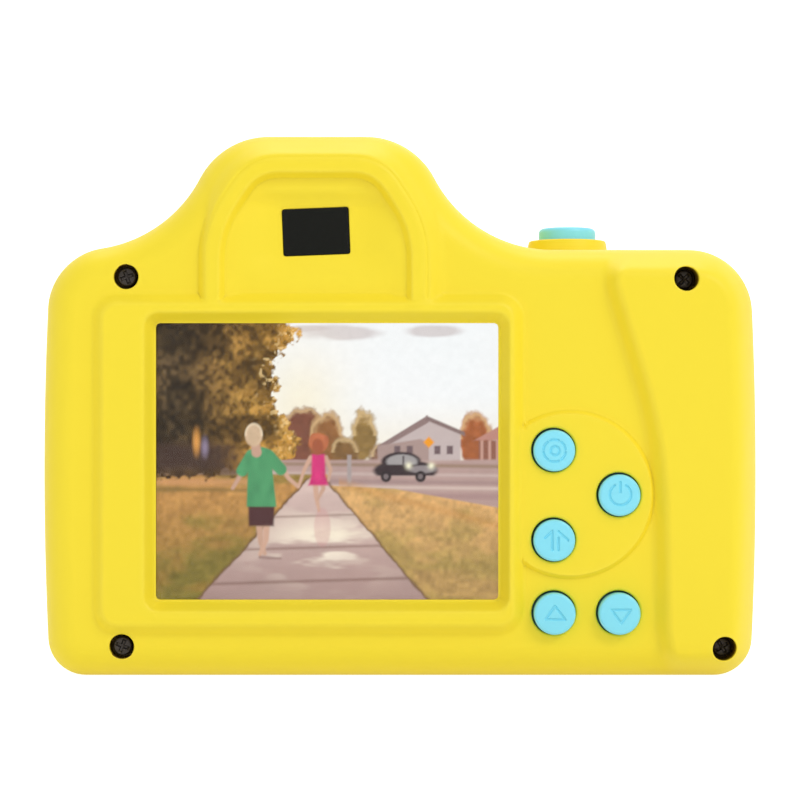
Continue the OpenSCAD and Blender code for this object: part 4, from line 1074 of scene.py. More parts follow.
def paintScene(x, y):
    # an evening street with a tree and a wet path; x runs right and y down, in picture heights.
    # Each shape is a distance, below zero inside, laid over the canvas as canvas (1 - mask) + colour mask
    seed = picture["seed"]
    wide = x.max()
    canvas = np.zeros(x.shape + (3,))

    def lay(mask, colour):
        nonlocal canvas
        mask = np.clip(mask, 0, 1)[..., None]
        canvas = canvas * (1 - mask) + np.asarray(colour) * mask

    def soft(distance, blur=0.004):
        return ease(0.5 - distance / blur / 2)

    def oval(cx, cy, rx, ry):
        return (np.hypot((x - cx) / rx, (y - cy) / ry) - 1) * min(rx, ry)

    def limb(points, thick):
        away = np.full(x.shape, 9.0)
        for (ax, ay, ra), (bx, by, rb) in zip(points[:-1], points[1:]):
            dx, dy = bx - ax, by - ay
            t = np.clip(((x - ax) * dx + (y - ay) * dy) / (dx * dx + dy * dy), 0, 1)
            away = np.minimum(away, np.hypot(x - ax - t * dx, y - ay - t * dy) - thick * (ra + (rb - ra) * t))
        return away

    def field(corners):
        # distance to a convex outline listed clockwise on the canvas
        away = np.full(x.shape, -9.0)
        for (ax, ay), (bx, by) in zip(corners, corners[1:] + corners[:1]):
            length = math.hypot(bx - ax, by - ay)
            away = np.maximum(away, ((by - ay) * (x - ax) - (bx - ax) * (y - ay)) / length)
        return away

    fine = cloudy(x, y, 0.02, seed + 40, 3)
    grain = cloudy(x, y, 0.06, seed + 50, 4)
    # sky
    canvas[:] = tint(252, 251, 250)
    lay(ease((y - 0.25) / 0.22), tint(253, 243, 228))
    for cx, cy, rx, ry in ((0.66, 0.035, 0.15, 0.03), (1.0, 0.03, 0.1, 0.022), (0.55, 0.02, 0.08, 0.012)):
        cloud = np.exp(-(((x - cx) / rx) ** 2 + ((y - cy) / ry) ** 2)) * (0.5 + cloudy(x, y * 3, 0.12, seed, 4))
        lay(0.75 * ease((cloud - 0.18) / 0.5), tint(212, 198, 196))
    lay(0.8 * np.exp(-(((x - 0.52) / 0.16) ** 2 + ((y - 0.3) / 0.2) ** 2)), tint(255, 243, 214))
    # far trees, house and shelter
    ridge = 0.02 * (cloudy(x, y * 0, 0.04, seed + 3, 3) - 0.5)
    for cx, cy, rx, ry, colour in (
            (0.53, 0.43, 0.1, 0.12, (128, 78, 60)), (0.62, 0.43, 0.06, 0.115, (150, 100, 58)),
            (0.75, 0.41, 0.045, 0.1, (150, 118, 66)), (1.155, 0.42, 0.065, 0.105, (172, 98, 56)),
            (0.68, 0.47, 0.05, 0.06, (132, 96, 56)), (0.83, 0.485, 0.06, 0.05, (140, 104, 84))):
        crown = oval(cx, cy, rx, ry) + 0.9 * ridge + 0.016 * (fine - 0.5)
        shadeOf = tint(*colour) * (0.72 + 0.6 * fine[..., None])
        lay(soft(crown, 0.008), shadeOf)
        lay(0.7 * soft(np.abs(crown + 0.008) - 0.004, 0.01) * (y < cy), tint(250, 214, 158))
    for corners, colour in (
            ([(0.84, 0.43), (0.985, 0.345), (1.10, 0.40), (1.10, 0.50), (0.84, 0.50)], (203, 184, 180)),
            ([(0.80, 0.445), (0.98, 0.335), (0.985, 0.36), (0.80, 0.465)], (150, 124, 120)),
            ([(0.975, 0.335), (1.115, 0.395), (1.115, 0.41), (0.975, 0.352)], (140, 116, 112)),
            ([(0.80, 0.445), (0.955, 0.42), (0.985, 0.435), (0.985, 0.5), (0.80, 0.5)], (178, 150, 142))):
        lay(soft(field(corners)), tint(*colour))
    for wx in (0.86, 0.905, 1.005, 1.05):
        lay(soft(field([(wx, 0.445), (wx + 0.022, 0.445), (wx + 0.022, 0.475), (wx, 0.475)])), tint(118, 96, 98))
    lay(soft(field([(1.15, 0.425), (wide, 0.375), (wide + 0.1, 0.375), (wide + 0.1, 0.425)])), tint(196, 140, 126))
    lay(soft(field([(1.165, 0.425), (1.30, 0.425), (1.30, 0.51), (1.165, 0.51)])), tint(150, 98, 80))
    for wx in (1.172, 1.2, 1.228):
        lay(soft(field([(wx, 0.425), (wx + 0.01, 0.425), (wx + 0.01, 0.51), (wx, 0.51)])), tint(206, 158, 142))
    # road, kerbs and far verge
    ground = 0.495 + 0.008 * (cloudy(x, y * 0, 0.2, seed + 5) - 0.5)
    lay(soft(ground - y, 0.006), tint(190, 158, 150) * (0.92 + 0.14 * grain[..., None]))
    for at, thick, colour in (
            (0.512, 0.005, (146, 118, 88)), (0.545, 0.004, (214, 190, 182)), (0.572, 0.007, (168, 138, 134)),
            (0.592, 0.005, (226, 202, 190)), (0.622, 0.01, (174, 140, 136))):
        lay(0.8 * soft(np.abs(y - at - 0.012 * (x - 0.6)) - thick, 0.008), tint(*colour))
    lay(soft(field([(0.69, 0.478), (0.705, 0.478), (0.705, 0.60), (0.69, 0.60)])), tint(176, 160, 156))
    # parked car
    car = np.minimum(oval(0.90, 0.535, 0.115, 0.038), oval(0.885, 0.503, 0.072, 0.036))
    lay(soft(np.maximum(car, y - 0.553)), tint(62, 48, 50))
    lay(soft(np.maximum(oval(0.888, 0.502, 0.056, 0.026), y - 0.513)), tint(168, 160, 158))
    pillar = (np.abs(y - 0.5) < 0.02)[..., None]
    lay(soft(np.abs(x - 0.893) - 0.003), np.where(pillar, tint(70, 58, 60), canvas))
    lay(soft(oval(0.962, 0.53, 0.05, 0.014)), tint(150, 138, 138))
    for wx in (0.83, 0.955):
        lay(soft(oval(wx, 0.556, 0.019, 0.02)), tint(48, 38, 40))
        lay(soft(oval(wx, 0.556, 0.009, 0.01)), tint(126, 112, 112))
    for gx in (0.912, 0.994):
        lay(np.exp(-(((x - gx) / 0.012) ** 2 + ((y - 0.517) / 0.012) ** 2)), tint(255, 246, 214))
    # a plain sign standing on its corner
    lay(soft(np.abs(x - 0.985) + np.abs(y - 0.432) - 0.02, 0.006), tint(250, 160, 34))
    # lawns
    lawn = cloudy(x, y * 1.6, 0.07, seed + 20, 4)
    blades = cloudy(x * 1.3, y * 1.2, 0.02, seed + 25, 4)
    olive = ease((cloudy(x, y * 2, 0.16, seed + 27, 4) - 0.4) / 0.25)[..., None]
    deep = ease((y - 0.56) / 0.44)[..., None]
    leftLawn = tint(200, 146, 82) * (1 - deep) + tint(146, 116, 52) * deep
    leftLawn = leftLawn * (1 - 0.6 * olive) + tint(122, 118, 50) * 0.6 * olive
    leftLawn = leftLawn * (0.5 + 0.4 * lawn[..., None] + 0.6 * blades[..., None])
    lay(soft(0.548 - y, 0.006) * (x < 0.62), leftLawn)
    lay(0.75 * soft(np.abs(y - 0.575) - 0.012, 0.012) * (x < 0.4), tint(214, 156, 104))
    lay(0.85 * soft(np.abs(y - 0.602 - 0.01 * x) - 0.006, 0.01) * (x < 0.4), tint(142, 112, 62))
    lay(0.9 * soft(np.abs(y - 0.538) - 0.014, 0.012) * (x < 0.42), tint(104, 76, 44))
    rightLawn = tint(222, 172, 110) * (1 - deep) + tint(184, 146, 88) * deep
    rightLawn = rightLawn * (1 - 0.5 * olive) + tint(160, 142, 70) * 0.5 * olive
    rightLawn = rightLawn * (0.52 + 0.4 * lawn[..., None] + 0.6 * blades[..., None])
    lay(soft(field([(0.55, 0.585), (0.86, 0.6), (wide + 0.2, 0.705), (wide + 0.2, 1.2), (0.55, 1.2)])), rightLawn)
    lay(0.6 * soft(np.abs(y - 0.603 - 0.27 * (x - 0.75)) - 0.01, 0.02) * (x > 0.66), tint(214, 152, 84))
    # path, narrowing into the distance, with a wet shine
    pathLeft = 0.155 + 0.40 * ((1.0 - y) / 0.44)
    pathRight = 0.975 - 0.375 * ((1.0 - y) / 0.44)
    rough = 0.012 * (fine - 0.5) + 0.02 * (grain - 0.5) * ease((y - 0.6) / 0.4)
    onPath = np.maximum(pathLeft - x, x - pathRight) + rough
    stone = tint(222, 192, 182) * (1 - deep) + tint(178, 146, 138) * deep
    stone = stone * (0.86 + 0.24 * cloudy(x * 0.5, y * 2, 0.1, seed + 30, 4)[..., None])
    lay(soft(np.maximum(onPath - 0.01, 0.562 - y), 0.01), tint(120, 88, 60))
    lay(soft(np.maximum(onPath, 0.562 - y), 0.006), stone)
    shine = cloudy(x * 0.6, y * 2.4, 0.13, seed + 33, 4)
    wet = ease((shine - 0.44) / 0.16) * np.exp(-(((x - 0.60) / 0.2) ** 2 + ((y - 0.80) / 0.11) ** 2))
    lay(wet * soft(onPath), tint(255, 238, 216))
    lay(0.75 * np.exp(-(((x - 0.62) / 0.13) ** 2 + ((y - 0.765) / 0.022) ** 2)) * soft(onPath), tint(255, 240, 214))
    for at, thick in ((0.70, 0.0035), (0.805, 0.004), (0.925, 0.005)):
        lay(0.6 * soft(np.abs(y - at - 0.012 * math.sin(at * 9) + 0.03 * (x - 0.5)) - thick, 0.006) * soft(onPath),
            tint(126, 92, 80))
    # big tree: dark to the left, lit leaves to the right
    reach = 0.475 + 0.05 * np.sin(y * 17) + 0.1 * (cloudy(x * 0 + 0.3, y, 0.09, seed + 60, 4) - 0.5)
    reach = reach - 0.09 * np.exp(-((y - 0.15) / 0.07) ** 2) + 0.03 * np.exp(-((y - 0.36) / 0.06) ** 2)
    crown = np.maximum(x - reach, y - 0.545 + 0.05 * ease((x - 0.3) / 0.2))
    crown = crown + 0.07 * (fine - 0.5) + 0.05 * (grain - 0.5)
    across = ease((x - 0.05) / 0.42)[..., None]
    leaves = tint(92, 72, 46) * (1 - across) + tint(184, 134, 58) * across
    clump = ease((cloudy(x, y * 1.3, 0.1, seed + 70, 5) - 0.3) / 0.4)[..., None]
    leaf = ease((cloudy(x * 1.2, y, 0.018, seed + 75, 3) - 0.3) / 0.4)[..., None]
    leaves = leaves * (0.38 + 0.75 * clump) * (0.5 + 0.8 * leaf)
    lay(soft(crown, 0.008), leaves)
    lit = ease((cloudy(x, y, 0.02, seed + 80, 3) - 0.5) / 0.16) * ease((x - reach + 0.3) / 0.3) * clump[..., 0]
    lay(0.6 * lit * soft(crown, 0.008), tint(232, 178, 88))
    rimLight = ease((cloudy(x, y, 0.013, seed + 85, 2) - 0.62) / 0.1) * ease((x - reach + 0.09) / 0.08)
    lay(0.7 * rimLight * soft(crown, 0.008), tint(252, 216, 150))
    gloom = ease((y - 0.38) / 0.14) * ease((0.36 - x) / 0.1)
    lay(0.55 * gloom * soft(crown, 0.008), tint(70, 46, 30))
    hedge = ease((0.55 - np.abs(y - 0.5) * 7) / 0.25) * soft(x - 0.30 + 0.05 * fine, 0.06) * soft(y - 0.53, 0.02)
    lay(0.8 * hedge, tint(74, 54, 46))
    lay(0.8 * soft(oval(0.145, 0.43, 0.012, 0.04), 0.01), tint(246, 170, 84))
    lay(0.7 * soft(oval(0.175, 0.45, 0.011, 0.03), 0.01), tint(168, 150, 176))
    # two small walkers seen from behind
    skin = tint(214, 170, 146)
    lay(soft(limb([(0.372, 0.735, 0.85), (0.377, 0.79, 0.72), (0.392, 0.835, 0.5)], 0.014)), skin * 0.92)
    lay(soft(limb([(0.398, 0.735, 0.85), (0.396, 0.785, 0.7), (0.375, 0.838, 0.5)], 0.014)), skin)
    lay(soft(limb([(0.318, 0.515, 1), (0.296, 0.565, 0.7), (0.276, 0.598, 0.6)], 0.011)), skin * 0.9)
    lay(soft(limb([(0.445, 0.505, 1), (0.478, 0.562, 0.7), (0.512, 0.592, 0.6)], 0.011)), skin)
    lay(soft(field([(0.332, 0.655), (0.428, 0.655), (0.424, 0.735), (0.334, 0.735)]), 0.006), tint(84, 50, 50))
    shirt = np.min([field([(0.333, 0.47), (0.412, 0.47), (0.434, 0.665), (0.326, 0.665)]),
                    oval(0.375, 0.485, 0.052, 0.036),
                    limb([(0.345, 0.482, 1.15), (0.31, 0.535, 1.0)], 0.021),
                    limb([(0.405, 0.482, 1.15), (0.45, 0.53, 1.0)], 0.021)], 0)
    folds = 0.78 + 0.4 * cloudy(x * 1.8, y, 0.05, seed + 95, 3)[..., None]
    lay(soft(shirt), tint(86, 158, 106) * folds)
    lay(soft(limb([(0.358, 0.44, 1), (0.362, 0.468, 1.15)], 0.016)), skin * 0.9)
    lay(soft(oval(0.352, 0.405, 0.032, 0.042)), tint(216, 184, 150) * (0.85 + 0.25 * fine[..., None]))
    lay(0.6 * soft(np.abs(oval(0.352, 0.405, 0.032, 0.042) + 0.003) - 0.003) * (y < 0.41), tint(252, 232, 200))
    lay(soft(limb([(0.575, 0.575, 0.9), (0.578, 0.63, 0.7), (0.588, 0.68, 0.45)], 0.012)), skin)
    lay(soft(limb([(0.598, 0.575, 0.9), (0.604, 0.60, 0.7), (0.585, 0.635, 0.5)], 0.011)), skin * 0.92)
    lay(soft(limb([(0.558, 0.487, 1), (0.535, 0.53, 0.8), (0.515, 0.59, 0.6)], 0.0085)), skin)
    lay(soft(limb([(0.612, 0.487, 1), (0.63, 0.53, 0.8), (0.622, 0.57, 0.6)], 0.0085)), skin * 0.95)
    frock = np.minimum(field([(0.562, 0.475), (0.608, 0.475), (0.612, 0.55), (0.56, 0.55)]),
                       field([(0.565, 0.535), (0.606, 0.535), (0.622, 0.588), (0.55, 0.588)]))
    lay(soft(frock, 0.006), tint(222, 58, 124) * folds)
    hair = oval(0.586, 0.432, 0.036, 0.036) + 0.012 * (fine - 0.5)
    lay(soft(hair), tint(196, 112, 74) * (0.8 + 0.4 * fine[..., None]))
    lay(soft(oval(0.583, 0.448, 0.02, 0.03)), tint(170, 92, 62))
    lay(0.35 * soft(oval(0.60, 0.74, 0.03, 0.07)), tint(214, 150, 148))
    lay(0.5 * soft(limb([(0.375, 0.848, 1), (0.45, 0.852, 0.6)], 0.006)), tint(120, 84, 78))
    return np.clip(canvas * (0.97 + 0.06 * fine[..., None]), 0, 1)


def makePicture():
    # a fine grid over the picture area whose points hold the painted colours, with a plain border and back
    columns, rows = picture["columns"], picture["rows"]
    lo, hi = pictureLo - picture["margin"], pictureHi + picture["margin"]
    u, v = np.meshgrid(np.linspace(0, 1, columns), np.linspace(0, 1, rows))
    rear = boxOf("display_panel")[0][1]
    x, z = lo[0] + u * (hi[0] - lo[0]), hi[1] - v * (hi[1] - lo[1])
    face = np.stack([x, np.full(x.shape, rear - picture["thick"]), z], -1).reshape(-1, 3)
    index = np.arange(columns * rows).reshape(rows, columns)
    quads = np.stack([index[:-1, :-1], index[:-1, 1:], index[1:, 1:], index[1:, :-1]], -1).reshape(-1, 4)
    border = np.concatenate([index[0, :-1], index[:-1, -1], index[-1, :0:-1], index[:0:-1, 0]])
    back = face[border] + [0, picture["thick"], 0]
    count, n = len(face), len(border)
    around = np.stack([border, np.arange(n) + count, (np.arange(n) + 1) % n + count, np.roll(border, -1)], -1)
    middle = np.array([[(lo[0] + hi[0]) / 2, rear, (lo[1] + hi[1]) / 2]])
    points = np.concatenate([face, back, middle])
    faces = [quads[:, ::-1], around[:, ::-1], fan(count + n, np.arange(n) + count)]
    piece = makePiece("litPicture", outward(points, faces), 30)
    colours = paintScene(u * (hi[0] - lo[0]) / (hi[1] - lo[1]), v).reshape(-1, 3)
    full = np.concatenate([colours, colours[border], colours[:1]])
    full = np.concatenate([full, np.ones((len(full), 1))], 1)
    layer = piece.data.color_attributes.new("picture", "FLOAT_COLOR", "POINT")
    layer.data.foreach_set("color", full.astype(np.float32).ravel())
    return piece


print("picture")
litPicture = makePicture()
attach(litPicture, "case")

lens = {
    "ribs": 60, "ribDepth": 0.35, "bore": 11.6, "neck": 12.5, "flangeR": 13.2, "flangeY": (5.1, 5.9),
    "mouthR": 10.8, "ribFoot": 1.0, "ribTop": 1.7, "blend": 0.3, "coverSeat": 0.8,
}


def makeLensRing():
    # a turned ring with a flange inside the shell; its ribs are radius - ribDepth (0.5 - 0.5 cos(ribs angle))^2
    mouth = barrelHi[1]
    collar = frontY + front["bossH"]
    outer = (barrelHi[0] - barrelLo[0]) / 2
    bore, neck, flange, blend = lens["bore"], lens["neck"], lens["flangeR"], lens["blend"]
    rear, fore = lens["flangeY"]
    low, high, seat = collar + lens["ribFoot"], mouth - lens["ribTop"], mouth - lens["coverSeat"]
    corners = [[bore, rear], [flange, rear], [flange, fore], [neck, fore], [neck, collar], [outer, collar],
               [outer, low], [outer, low + blend], [outer, high - blend], [outer, high], [outer, mouth],
               [lens["mouthR"], mouth], [lens["mouthR"], seat], [bore, seat]]
    radii = [0.1, 0.1, 0.1, 0.1, 0, 0.25, 0, 0, 0, 0, 1.1, 0.4, 0.1, 0]
    profile = filleted(corners, radii, closed=True, steps=7)

    def ripple(angle, radius, along):
        band = (radius > outer - 0.01) & (along > low + 0.05) & (along < high - 0.05)
        return -lens["ribDepth"] * band * (0.5 - 0.5 * np.cos(angle * lens["ribs"])) ** 2

    return makePiece("lensRing", turned(profile, [lensAt[0], 0, lensAt[1]], "y", lens["ribs"] * 10, ripple), 34)


door = {"hingeR": 0.9, "pinR": 0.45, "edge": 0.35, "inset": 0.05}


def makeDoor():
    # the outer face follows the arc of the case's side, sideR - sqrt(sideR^2 - (z - sideZ)^2), and its edges
    # drop by edge (1 - sqrt(1 - t^2)), with t = 1 at the border
    half, edge = (doorHi[1] - doorLo[1]) / 2, door["edge"]
    hingeX, low = (pinLo[0] + pinHi[0]) / 2, (pinLo[2] + pinHi[2]) / 2
    v, u = np.meshgrid(np.linspace(0, 1, 121), np.linspace(-1, 1, 41), indexing="ij")
    zz = low + v * (doorHi[2] - low)
    side = case["sideR"] - np.sqrt(case["sideR"] ** 2 - (zz - case["sideZ"]) ** 2)
    border = np.minimum((1 - np.abs(u)) * half, (1 - v) * (doorHi[2] - low))
    drop = edge * (1 - np.sqrt(1 - np.clip(1 - border / edge, 0, 1) ** 2))
    outerX = -halfWidth + side + door["inset"] + drop
    innerX = np.full(outerX.shape, doorHi[0])
    yy = partingY + u * half
    outerFace = np.stack([outerX, yy, zz], -1).reshape(-1, 3)
    innerFace = np.stack([innerX, yy, zz], -1).reshape(-1, 3)
    rows, columns = u.shape
    index = np.arange(rows * columns).reshape(rows, columns)
    quads = np.stack([index[:-1, :-1], index[:-1, 1:], index[1:, 1:], index[1:, :-1]], -1).reshape(-1, 4)
    border = np.concatenate([index[0, :-1], index[:-1, -1], index[-1, :0:-1], index[:0:-1, 0]])
    count = rows * columns
    around = np.stack([border, border + count, np.roll(border, -1) + count, np.roll(border, -1)], -1)
    slab = outward(np.concatenate([outerFace, innerFace]), [quads[:, ::-1], quads + count, around])
    piece = makePiece("portDoor", slab)
    radius = door["hingeR"]
    barrel = filleted([[0, -half], [radius, -half], [radius, half], [0, half]], [0, 0.12, 0.12, 0])
    carve(piece, turned(barrel, [hingeX, partingY, low], "y", 48), "UNION")
    carve(piece, rod(hingeX, low, door["pinR"], partingY - 5, partingY + 5, 32))
    shade(piece, 32)
    return piece


print("lens and door")
lensRing = makeLensRing()
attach(lensRing, "case")
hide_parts("lens_barrel")
portDoor = makeDoor()
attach(portDoor, "door")
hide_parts("port_door")

# Node groups make colours, roughness and height only; the shader itself stays in each material.

def newGroup(name, inputs, outputs):
    # an empty node group with its sockets, inputs given as label, kind and start value
    group = bpy.data.node_groups.new(name, "ShaderNodeTree")
    for label, kind, value in inputs:
        socket = group.interface.new_socket(name=label, in_out="INPUT", socket_type=kind)
        socket.default_value = value
    for label, kind in outputs:
        group.interface.new_socket(name=label, in_out="OUTPUT", socket_type=kind)
    return group, group.nodes.new("NodeGroupInput"), group.nodes.new("NodeGroupOutput")


def addNode(tree, kind, links=None, **values):
    # makes a node; values set its own properties, links join or set its inputs by name or number
    made = tree.nodes.new(kind)
    for label, value in values.items():
        setattr(made, label, value)
    for label, value in (links or {}).items():
        if hasattr(value, "is_output"):
            tree.links.new(value, made.inputs[label])
        else:
            made.inputs[label].default_value = value
    return made


def makeGrainGroup():
    # moulded surface: fine spark-eroded grain, a slow mottle and faint flow marks
    group, given, out = newGroup(
        "mouldedGrain",
        [("Colour", "NodeSocketColor", (0.8, 0.8, 0.8, 1)), ("Shift", "NodeSocketColor", (0.7, 0.7, 0.7, 1)),
         ("Grain Scale", "NodeSocketFloat", 5200.0), ("Mottle", "NodeSocketFloat", 0.25),
         ("Gloss", "NodeSocketFloat", 0.45), ("Spread", "NodeSocketFloat", 0.08)],
        [("Colour", "NodeSocketColor"), ("Roughness", "NodeSocketFloat"), ("Height", "NodeSocketFloat")])
    place = addNode(group, "ShaderNodeTexCoord").outputs["Object"]
    grain = addNode(group, "ShaderNodeTexNoise",
                    {"Vector": place, "Scale": given.outputs["Grain Scale"], "Detail": 3.0, "Roughness": 0.6})
    slow = addNode(group, "ShaderNodeTexNoise", {"Vector": place, "Scale": 42.0, "Detail": 4.0, "Roughness": 0.55})
    flow = addNode(group, "ShaderNodeTexNoise", {"Vector": place, "Scale": 120.0, "Detail": 2.0, "Distortion": 1.2})
    strength = addNode(group, "ShaderNodeMath", {0: slow.outputs["Fac"], 1: given.outputs["Mottle"]},
                       operation="MULTIPLY")
    colour = addNode(group, "ShaderNodeMix", {"Factor": strength.outputs[0], "A": given.outputs["Colour"],
                                              "B": given.outputs["Shift"]}, data_type="RGBA")
    spread = addNode(group, "ShaderNodeMath", {0: flow.outputs["Fac"], 1: 0.5}, operation="SUBTRACT")
    rough = addNode(group, "ShaderNodeMath", {0: spread.outputs[0], 1: given.outputs["Spread"],
                                              2: given.outputs["Gloss"]}, operation="MULTIPLY_ADD")
    group.links.new(colour.outputs["Result"], out.inputs["Colour"])
    group.links.new(rough.outputs[0], out.inputs["Roughness"])
    group.links.new(grain.outputs["Fac"], out.inputs["Height"])
    return group


def makeWearAndShadeGroup():
    # handling wear and painted shade: raised edges go a little paler and smoother by amount * mask * noise,
    # and hollows and hole walls are darkened towards a painted shade colour by 0.9 * (-0.6 mask)^3
    group, given, out = newGroup(
        "wearAndHollowShade",
        [("Colour", "NodeSocketColor", (0.8, 0.8, 0.8, 1)), ("Roughness", "NodeSocketFloat", 0.5),
         ("Worn", "NodeSocketColor", (1, 1, 1, 1)), ("Hollow Shade", "NodeSocketColor", (0.5, 0.5, 0.5, 1)),
         ("Amount", "NodeSocketFloat", 0.3)],
        [("Colour", "NodeSocketColor"), ("Roughness", "NodeSocketFloat")])
    mask = addNode(group, "ShaderNodeAttribute", attribute_name="edge").outputs["Fac"]
    place = addNode(group, "ShaderNodeTexCoord").outputs["Object"]
    patches = addNode(group, "ShaderNodeTexNoise", {"Vector": place, "Scale": 260.0, "Detail": 3.0})
    raised = addNode(group, "ShaderNodeMath", {0: mask, 1: patches.outputs["Fac"]}, operation="MULTIPLY",
                     use_clamp=True)
    worn = addNode(group, "ShaderNodeMath", {0: raised.outputs[0], 1: given.outputs["Amount"]}, operation="MULTIPLY")
    # painted shade: the further the mask lies below zero, the more the colour turns to the shade colour
    sunk = addNode(group, "ShaderNodeMath", {0: mask, 1: -0.6}, operation="MULTIPLY", use_clamp=True)
    deep = addNode(group, "ShaderNodeMath", {0: sunk.outputs[0], 1: 3.0}, operation="POWER")
    hollowShading = addNode(group, "ShaderNodeMath", {0: deep.outputs[0], 1: 0.9}, operation="MULTIPLY")
    first = addNode(group, "ShaderNodeMix", {"Factor": worn.outputs[0], "A": given.outputs["Colour"],
                                             "B": given.outputs["Worn"]}, data_type="RGBA")
    second = addNode(group, "ShaderNodeMix", {"Factor": hollowShading.outputs[0], "A": first.outputs["Result"],
                                              "B": given.outputs["Hollow Shade"]}, data_type="RGBA")
    rough = addNode(group, "ShaderNodeMath", {0: worn.outputs[0], 1: -0.35, 2: given.outputs["Roughness"]},
                    operation="MULTIPLY_ADD")
    group.links.new(second.outputs["Result"], out.inputs["Colour"])
    group.links.new(rough.outputs[0], out.inputs["Roughness"])
    return group


def makeMetalGroup():
    # drawn or plated metal: streaks along one axis over a slow tarnish
    group, given, out = newGroup(
        "metalStreaks",
        [("Colour", "NodeSocketColor", (0.6, 0.6, 0.6, 1)), ("Tarnish", "NodeSocketColor", (0.4, 0.4, 0.4, 1)),
         ("Gloss", "NodeSocketFloat", 0.3)],
        [("Colour", "NodeSocketColor"), ("Roughness", "NodeSocketFloat"), ("Height", "NodeSocketFloat")])
    place = addNode(group, "ShaderNodeTexCoord").outputs["Object"]
    drawn = addNode(group, "ShaderNodeMapping", {"Vector": place, "Scale": (9000.0, 300.0, 9000.0)})
    streaks = addNode(group, "ShaderNodeTexNoise", {"Vector": drawn.outputs[0], "Scale": 1.0, "Detail": 2.0})
    slow = addNode(group, "ShaderNodeTexNoise", {"Vector": place, "Scale": 300.0, "Detail": 4.0})
    colour = addNode(group, "ShaderNodeMix", {"Factor": slow.outputs["Fac"], "A": given.outputs["Colour"],
                                              "B": given.outputs["Tarnish"]}, data_type="RGBA")
    rough = addNode(group, "ShaderNodeMath", {0: streaks.outputs["Fac"], 1: 0.2, 2: given.outputs["Gloss"]},
                    operation="MULTIPLY_ADD")
    group.links.new(colour.outputs["Result"], out.inputs["Colour"])
    group.links.new(rough.outputs[0], out.inputs["Roughness"])
    group.links.new(streaks.outputs["Fac"], out.inputs["Height"])
    return group


groups = {"grain": makeGrainGroup(), "wearAndShade": makeWearAndShadeGroup(), "metal": makeMetalGroup()}


def startMaterial(name):
    # a new material, its node tree and its shader
    material = bpy.data.materials.new(name)
    material.use_nodes = True
    tree = material.node_tree
    return material, tree, tree.nodes["Principled BSDF"]


def rgba(*rgb):
    # display colour, from 0 to 255, as an opaque linear colour
    return tuple(float(v) for v in tint(*rgb)) + (1.0,)


def bump(tree, shader, height, distance, strength):
    # joins a height field to the shader's normal
    node = addNode(tree, "ShaderNodeBump", {"Height": height, "Strength": strength, "Distance": distance})
    tree.links.new(node.outputs["Normal"], shader.inputs["Normal"])


def plastic(name, colour, shift, gloss, grainScale=5200.0, relief=0.25, mottle=0.25, spread=0.1, wearAndShade=None,
            shine=0.5):
    # moulded plastic between two colours; the wear-and-shade argument, if given, holds the worn colour, the painted
    # shade colour for hollows and hole walls, and the amount
    material, tree, shader = startMaterial(name)
    grain = addNode(tree, "ShaderNodeGroup", node_tree=groups["grain"])
    for label, value in (("Colour", rgba(*colour)), ("Shift", rgba(*shift)), ("Grain Scale", grainScale),
                         ("Mottle", mottle), ("Gloss", gloss), ("Spread", spread)):
        grain.inputs[label].default_value = value
    colourOut, roughOut = grain.outputs["Colour"], grain.outputs["Roughness"]
    if wearAndShade:
        # paler wear on raised edges, and painted shade in hollows and hole walls
        worn = addNode(tree, "ShaderNodeGroup", node_tree=groups["wearAndShade"])
        tree.links.new(colourOut, worn.inputs["Colour"])
        tree.links.new(roughOut, worn.inputs["Roughness"])
        for label, value in (("Worn", rgba(*wearAndShade[0])), ("Hollow Shade", rgba(*wearAndShade[1])), ("Amount", wearAndShade[2])):
            worn.inputs[label].default_value = value
        colourOut, roughOut = worn.outputs["Colour"], worn.outputs["Roughness"]
    tree.links.new(colourOut, shader.inputs["Base Color"])
    tree.links.new(roughOut, shader.inputs["Roughness"])
    shader.inputs["Specular IOR Level"].default_value = shine
    bump(tree, shader, grain.outputs["Height"], 0.00003, relief)
    return material


def metal(name, colour, tarnish, gloss, metallic=1.0):
    # metal between its own colour and its tarnish
    material, tree, shader = startMaterial(name)
    streaks = addNode(tree, "ShaderNodeGroup", node_tree=groups["metal"])
    for label, value in (("Colour", rgba(*colour)), ("Tarnish", rgba(*tarnish)), ("Gloss", gloss)):
        streaks.inputs[label].default_value = value
    shader.inputs["Metallic"].default_value = metallic
    tree.links.new(streaks.outputs["Colour"], shader.inputs["Base Color"])
    tree.links.new(streaks.outputs["Roughness"], shader.inputs["Roughness"])
    bump(tree, shader, streaks.outputs["Height"], 0.00001, 0.2)
    return material


def clearPlastic(name, ior, hue):
    # a clear body whose colour and haze drift slightly
    material, tree, shader = startMaterial(name)
    place = addNode(tree, "ShaderNodeTexCoord").outputs["Object"]
    haze = addNode(tree, "ShaderNodeTexNoise", {"Vector": place, "Scale": 90.0, "Detail": 3.0})
    rough = addNode(tree, "ShaderNodeMapRange", {"Value": haze.outputs["Fac"], "To Min": 0.0, "To Max": 0.015})
    colour = addNode(tree, "ShaderNodeMix",
                     {"Factor": haze.outputs["Fac"], "A": (1, 1, 1, 1), "B": rgba(*hue)}, data_type="RGBA")
    tree.links.new(colour.outputs["Result"], shader.inputs["Base Color"])
    tree.links.new(rough.outputs["Result"], shader.inputs["Roughness"])
    shader.inputs["IOR"].default_value = ior
    shader.inputs["Transmission Weight"].default_value = 1.0
    return material


